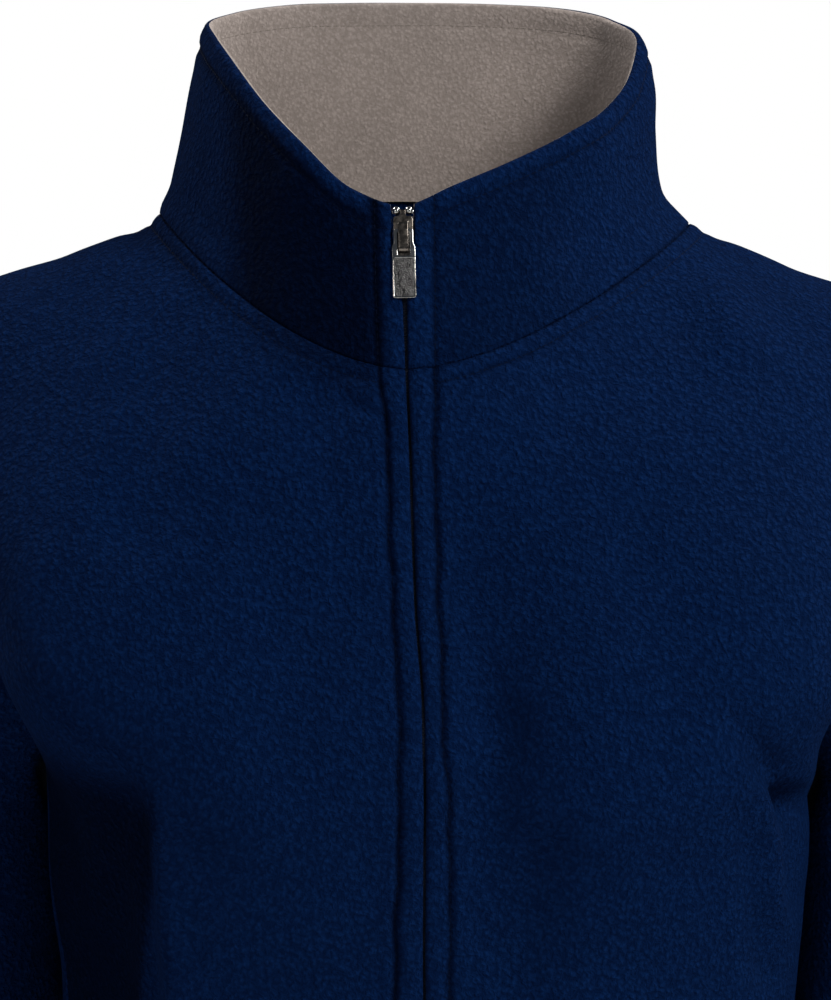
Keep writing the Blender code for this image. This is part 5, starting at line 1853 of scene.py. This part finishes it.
    def build_inner(self) -> bpy.types.Object:
        """Makes the grey layer, whose shown face looks inwards."""
        cloth = self.cloth
        upright = spaced(0.075, 1.9 * MM, 1.9 * MM, 0.0, 0.0)
        angle, below, turn, away, from_edge = self.rolled_rows(upright, self.inner_edge)
        face, normal, up, to_top = self.skeleton(angle, below)
        _, along, _ = cloth.neck.near(face)
        flat = 1.0 - turn
        stitch = self.inner_stitch.height(to_top, along) * ease(*self.beside, from_edge)
        height = ((stitch - cloth.uneven.at(face + 0.4)) * flat + rolled(from_edge, self.inner_edge_roll))
        room = (self.tape_room * (1.0 - ease(0.017, 0.03, away))
                * ease(2.5 * MM, 9.0 * MM, to_top)) * flat
        thick = np.minimum(self.layer_at(turn), self.roll - 0.1 * MM)
        phi = math.pi - turn * (math.pi - self.seam_turn(angle))
        shown, hidden = self.rolled_faces(face, normal, up, phi,
                                          [self.roll + height + room, self.roll - thick + room])
        rows = len(upright)
        cloth.sewing.grey.append(level_path(shown[:rows], to_top[:rows], self.inner_stitch.away, False))
        wall = ClothWall("collar_inner_cloth", hidden, shown, 1.0)
        item = dress(wall.make(), Body.JACKET, ["collar_inner"], [cloth.finishes.grey])
        return item


@dataclass
class ZipTapes:
    """The two woven tapes, and the closed coil between them."""

    cloth: Cloth
    inner: float = 1.2 * MM
    outer: float = 15.5 * MM
    depth: float = 2.8 * MM
    thick: float = 0.9 * MM
    columns: int = 9
    first_ring: float = 0.18
    last_share: float = 0.912
    coil_end: float = 0.66
    hem_extra: float = 0.9 * MM

    def strip(self, low: Array, high: float, columns: int, side: float, depth: float,
              last: float) -> tuple[Array, Array]:
        """Lays a strip along the zip, behind the cloth.

        Args:
            low: nearest distance from the zip's line.
            high: farthest distance.
            columns: points across.
            side: 1 for the wearer's left, else -1.
            depth: how far behind the cloth's face.
            last: share of the collar where it ends.

        Returns:
            The strip's points and its normals.
        """
        form = self.cloth.collar
        body = self.cloth.body
        tall = float(form.height(np.array([0.0]))[0])
        rings = np.linspace(self.first_ring, body.neck, 200)[:-1]
        shares = np.linspace(0.0, last, 26)
        across = np.linspace(0.0, 1.0, columns)[None, :]
        near = np.full((len(rings), 1), low)
        offset = near + across * (high - near)
        angle = side * offset / body.reach(rings)[:, None]
        ring = np.repeat(rings[:, None], columns, axis=1)
        lower = body.face(angle, ring)
        beside = ZIP_OPENING.at("half", (1.0 - shares) * tall) + 0.3 * MM
        near = np.maximum(low, beside) if low > 0.0 else np.full(len(shares), low)
        offset = near[:, None] + across * (high - near[:, None])
        angle = side * offset / form.reach(shares)[:, None]
        upper = form.face(angle, np.repeat(shares[:, None], columns, axis=1))
        face = np.concatenate([lower, upper])
        normal = grid_normals(face, side)
        rings = np.append(rings, np.full(len(shares), body.neck))
        drop = depth + self.hem_extra * (1.0 - ease(0.3, 0.6, rings))
        return face - normal * drop[:, None, None], normal

    def build_tape(self, side: Side) -> bpy.types.Object:
        """Makes one tape."""
        outer, normal = self.strip(self.inner, self.outer, self.columns, side.value,
                                   self.depth, self.last_share)
        name = f"zip_tape_{side.word}"
        wall = ClothWall(name + "_weave", outer, outer - normal * self.thick, side.value)
        item = dress(wall.make(), Body.JACKET, [name], [self.cloth.finishes.tape])
        return item

    def build_coil(self) -> bpy.types.Object:
        """Makes the teeth along the centre line."""
        points, _ = self.strip(-0.2 * MM, 0.2 * MM, 3, 1.0, self.depth - 0.5 * MM, self.coil_end)
        values = {"Pitch": 0.72 * MM, "Tooth": 3.4 * MM, "Wire": 0.34 * MM, "Apart": 0.55 * MM}
        item = coil_tree().grow("zip_coil_teeth", [points[:, 1]], values, self.cloth.finishes.teeth)
        return dress(item, Body.JACKET, ["zip_chain"])


@dataclass
class ZipHardware:
    """The slider with its bridge, the pull tab, the stops and the hem's box."""

    cloth: Cloth
    slider_half: float = 4.0 * MM
    foot_half: float = 3.2 * MM
    slider_top: float = 6.1 * MM
    slider_bottom: float = -10.3 * MM
    slider_front: float = 0.5 * MM
    slider_back: float = -4.4 * MM
    plate: float = 1.1 * MM
    plate_bevel: float = 0.32 * MM
    bridge_half: float = 2.0 * MM
    bridge_top: float = 3.4 * MM
    bridge_bottom: float = -9.0 * MM
    bridge_out: float = 3.5 * MM
    bridge_sunk: float = 0.6 * MM
    bridge_upper_bend: float = 1.6 * MM
    bridge_lower_bend: float = 2.2 * MM
    bar: float = 1.0 * MM
    pull_out: float = 1.5 * MM
    pull_thick: float = 1.2 * MM
    pull_narrow: float = 4.0 * MM
    pull_half: float = 4.75 * MM
    pull_neck: float = -4.8 * MM
    pull_corner: float = 1.1 * MM
    pull_low: float = -27.4 * MM
    window_half: float = 2.4 * MM
    window_low: float = -10.2 * MM
    rim: float = 0.75 * MM

    def __post_init__(self) -> None:
        """Finds the zip's place."""
        self.place = ZipFrame(self.cloth.collar).matrix()

    def build_slider(self) -> bpy.types.Object:
        """Makes the slider: two plates, the wedge between, and the bridge."""
        half = self.slider_half
        foot = self.foot_half
        top = self.slider_top
        low = self.slider_bottom
        outline = mirrored([(1.0 * MM, top + 0.7 * MM), (1.7 * MM, top), (half - 1.0 * MM, top),
                            (half - 0.3 * MM, top - 0.4 * MM), (half, top - 1.1 * MM),
                            (half, top - 5.4 * MM), (foot, low + 1.2 * MM),
                            (foot - 0.9 * MM, low)])
        plate = BevelledPlate(self.place)
        for face in (self.slider_front, self.slider_back + self.plate):
            plate.add([outline], face - self.plate, face, self.plate_bevel)
        wedge = rounded_box(1.3 * MM, low + 6.0 * MM, top, 0.5 * MM)
        plate.add([wedge], self.slider_back + 0.5 * MM, self.slider_front - 0.5 * MM, 0.2 * MM)
        plate.add([rounded_box(1.15 * MM, top - 1.0 * MM, top + 2.6 * MM, 0.4 * MM)],
                  self.slider_front - 2.2 * MM, self.slider_front - 0.2 * MM, 0.25 * MM)
        plate.add_knob((1.75 * MM, 3.5 * MM, 0.9 * MM), (0.75 * MM, 0.75 * MM, 0.6 * MM))
        item = plate.make("zip_slider_body")
        arch = BevelledPlate(self.place, True)
        arch.add([self.arch_outline()], -self.bridge_half, self.bridge_half, 0.28 * MM)
        bridge = arch.make("zip_slider_bridge")
        item.data.materials.append(self.cloth.finishes.metal)
        work = bmesh.new()
        work.from_mesh(item.data)
        work.from_mesh(bridge.data)
        work.to_mesh(item.data)
        work.free()
        bpy.data.objects.remove(bridge)
        item.data.set_sharp_from_angle(angle=32.0 * DEG)
        return dress(item, Body.JACKET, ["zip_slider"])

    def arch_outline(self) -> Outline:
        """Returns the bridge seen from the side, as (up, out) points."""
        top = self.bridge_top
        low = self.bridge_bottom
        out = self.bridge_out
        foot = self.slider_front - self.bridge_sunk
        upper = self.bridge_upper_bend
        lower = self.bridge_lower_bend
        outer = [(top, foot), *quarter((top - upper, out - upper), upper, 0.0, spans=6),
                 *quarter((low + lower, out - lower), lower, 90.0, spans=6), (low, foot)]
        top -= self.bar
        low += self.bar
        under = out - self.bar
        return outer + [(low, foot), (low, out - lower), (low + 0.6 * MM, under - 0.25 * MM),
                        (low + 1.4 * MM, under), (top - 0.9 * MM, under),
                        (top - 0.25 * MM, under - 0.3 * MM), (top, under - 0.9 * MM),
                        (top, foot)]

    def build_pull(self) -> bpy.types.Object:
        """Makes the pull tab: a framed plate with a window for the bridge."""
        half = self.pull_thick / 2
        narrow = self.pull_narrow
        wide = self.pull_half
        low = self.pull_low
        corner = self.pull_corner
        right = [(narrow - 0.5 * MM, half), (narrow, half - 0.5 * MM), (narrow, self.pull_neck)]
        for share in (0.25, 0.5, 0.75, 1.0):
            right.append((narrow + (wide - narrow) * float(ease(0.0, 1.0, share)),
                          self.pull_neck - 2.0 * MM * share))
        right += quarter((wide - corner, low + corner), corner, 0.0, -90.0)
        outline = mirrored(right)
        window = rounded_box(self.window_half, self.window_low, -half, 0.6 * MM)
        recess = rounded_box(wide - self.rim, low + self.rim, self.window_low - 1.0 * MM, 0.7 * MM)
        plate = BevelledPlate(self.place)
        front = self.pull_out + half
        back = self.pull_out - half
        plate.add([outline, window[::-1], recess[::-1]], back, front, 0.3 * MM)
        filling = rounded_box(wide - self.rim + 0.35 * MM, low + self.rim - 0.35 * MM,
                              self.window_low - 0.65 * MM, 0.9 * MM)
        plate.add([filling], back + 0.1 * MM, front - 0.34 * MM, 0.1 * MM, 1)
        item = plate.make("zip_pull_plate")
        finishes = self.cloth.finishes
        return dress(item, Body.PULL_TAB, ["zip_pull"], [finishes.bright, finishes.beaten])

    def build_stops(self) -> None:
        """Makes the two round stops above the slider."""
        up = self.slider_top + 2.4 * MM
        knobs = (((2.54 * MM, up, -1.25 * MM), (1.65 * MM, 1.65 * MM, 1.6 * MM)),
                 ((3.6 * MM, up - 0.2 * MM, -2.3 * MM), (1.3 * MM, 1.1 * MM, 0.8 * MM)))
        for side in Side:
            knob = BevelledPlate(self.place)
            for (across, *rest), radii in knobs:
                knob.add_knob((side.value * across, *rest), radii)
            item = knob.make(f"zip_stop_{side.word}_knob")
            dress(item, Body.JACKET, [f"zip_stop_{side.word}"], [self.cloth.finishes.bright])

    def build_box(self) -> bpy.types.Object:
        """Makes the retainer box at the hem."""
        low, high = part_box("zip_box")
        middle = [(low[k] + high[k]) / 2 for k in range(3)]
        place = Matrix.Translation(middle) @ Matrix.Rotation(math.pi / 2, 4, "X")
        wide = (high[0] - low[0]) / 2
        tall = (high[2] - low[2]) / 2
        deep = (high[1] - low[1]) / 2
        plate = BevelledPlate(place)
        plate.add([rounded_box(wide, -tall, tall, 0.9 * MM)], -deep, deep, 0.4 * MM)
        plate.add([rounded_box(0.5 * wide, -0.6 * tall, 0.85 * tall, 0.5 * MM)], 0.0,
                  deep + 0.2 * MM, 0.2 * MM)
        item = plate.make("zip_box_moulding")
        return dress(item, Body.JACKET, ["zip_box"], [self.cloth.finishes.teeth])


# ---- studio ----


# The lights: name, place, size, power and the blue part of their colour.
LIGHTS = (
    ("key", 1.45, -1.75, 1.05, 0.7, 88.0, 0.95),
    ("low_left", -1.27, -2.25, 0.12, 0.9, 16.0, 0.96),
    ("back_right", 1.285, 0.69, 1.385, 0.7, 52.0, 0.96),
    ("back_left", -1.285, 0.69, 1.385, 0.7, 54.0, 0.96))


@dataclass
class Studio:
    """A pale floor, soft lights, a white room and the camera."""

    eye: tuple[float, float, float] = (-0.0046, -2.5, -0.1124)
    lens: float = 216.0
    sensor: float = 36.0
    floor_z: float = -0.95
    floor_half: float = 1.5
    fill: Colour = (0.72, 0.84, 1.0)
    fill_strength: float = 0.11
    aim: tuple[float, float, float] = (0.0, -0.05, -0.1)
    floor_low: Colour = (0.78, 0.78, 0.78)
    floor_high: Colour = (0.82, 0.82, 0.82)

    def build(self) -> None:
        """Sets the whole studio up."""
        self.build_camera()
        self.build_floor()
        self.build_room()
        for name, *place, size, power, blue in LIGHTS:
            self.light(name, place, size, power, (1.0, 0.98, blue))
        bpy.context.scene.view_settings.view_transform = "Standard"
        bpy.context.scene.view_settings.look = "None"

    def build_camera(self) -> None:
        """Makes the camera, level and looking straight back."""
        camera = bpy.data.cameras.new("camera")
        camera.lens = self.lens
        camera.sensor_width = self.sensor
        camera.clip_end = 50.0
        item = bpy.data.objects.new("camera", camera)
        item.location = self.eye
        item.rotation_euler = (math.pi / 2, 0.0, 0.0)
        bpy.context.scene.collection.objects.link(item)
        bpy.context.scene.camera = item

    def build_floor(self) -> None:
        """Makes the plain floor."""
        mesh = bpy.data.meshes.new("floor")
        half = self.floor_half
        corners = [(x * half, y * half, self.floor_z) for x, y in ((-1, -1), (1, -1), (1, 1), (-1, 1))]
        mesh.from_pydata(corners, [], [(0, 1, 2, 3)])
        material = bpy.data.materials.new("pale_floor")
        material.use_nodes = True
        sketch = NodeSketch(material.node_tree)
        place = sketch.add("ShaderNodeTexCoord").outputs["Object"]
        tone = sketch.blend(sketch.noise(place, 3.0, 2.0)["Fac"], self.floor_low, self.floor_high)
        sketch.fill(material.node_tree.nodes["Principled BSDF"], {"Base Color": tone, "Roughness": 0.9})
        mesh.materials.append(material)
        new_object("floor", mesh)

    def build_room(self) -> None:
        """Makes the world: white where the camera sees it, dim as light."""
        world = bpy.data.worlds.new("room")
        world.use_nodes = True
        bpy.context.scene.world = world
        tree = world.node_tree
        tree.nodes.clear()
        sketch = NodeSketch(tree)
        seen = sketch.add("ShaderNodeLightPath")
        dim, white = (sketch.add("ShaderNodeBackground", {"Color": (*colour, 1.0),
                                                          "Strength": strength}).outputs[0]
                      for colour, strength in ((self.fill, self.fill_strength), ((1.0, 1.0, 1.0), 1.0)))
        both = sketch.add("ShaderNodeMixShader", {0: seen.outputs["Is Camera Ray"], 1: dim, 2: white})
        sketch.add("ShaderNodeOutputWorld", {"Surface": both.outputs[0]})

    def light(self, name: str, place: Sequence[float], size: float, power: float, colour: Colour) -> None:
        """Adds a square soft light that faces the collar."""
        lamp = bpy.data.lights.new(name, "AREA")
        lamp.shape = "SQUARE"
        lamp.size = size
        lamp.energy = power
        lamp.color = colour
        item = bpy.data.objects.new(name, lamp)
        item.location = place
        way = Vector(self.aim) - Vector(place)
        item.rotation_euler = way.to_track_quat("-Z", "Y").to_euler()
        bpy.context.scene.collection.objects.link(item)


def main() -> None:
    """Builds the studio and every piece."""
    logging.basicConfig(level=logging.INFO, format="%(name)s %(message)s")
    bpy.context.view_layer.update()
    Studio().build()
    finishes = Finishes()
    cloth = Cloth(Sewing(), finishes)
    for side in Side:
        FrontPanel(cloth, side).build()
    BackPanel(cloth).build()
    for side in Side:
        Sleeve(cloth, side).build()
    collar = StandCollar(cloth)
    collar.build_outer()
    collar.build_inner()
    tapes = ZipTapes(cloth)
    for side in Side:
        tapes.build_tape(side)
    tapes.build_coil()
    hardware = ZipHardware(cloth)
    hardware.build_slider()
    hardware.build_pull()
    hardware.build_stops()
    hardware.build_box()
    cloth.sewing.build(finishes)


if __name__ == "__main__":
    main()
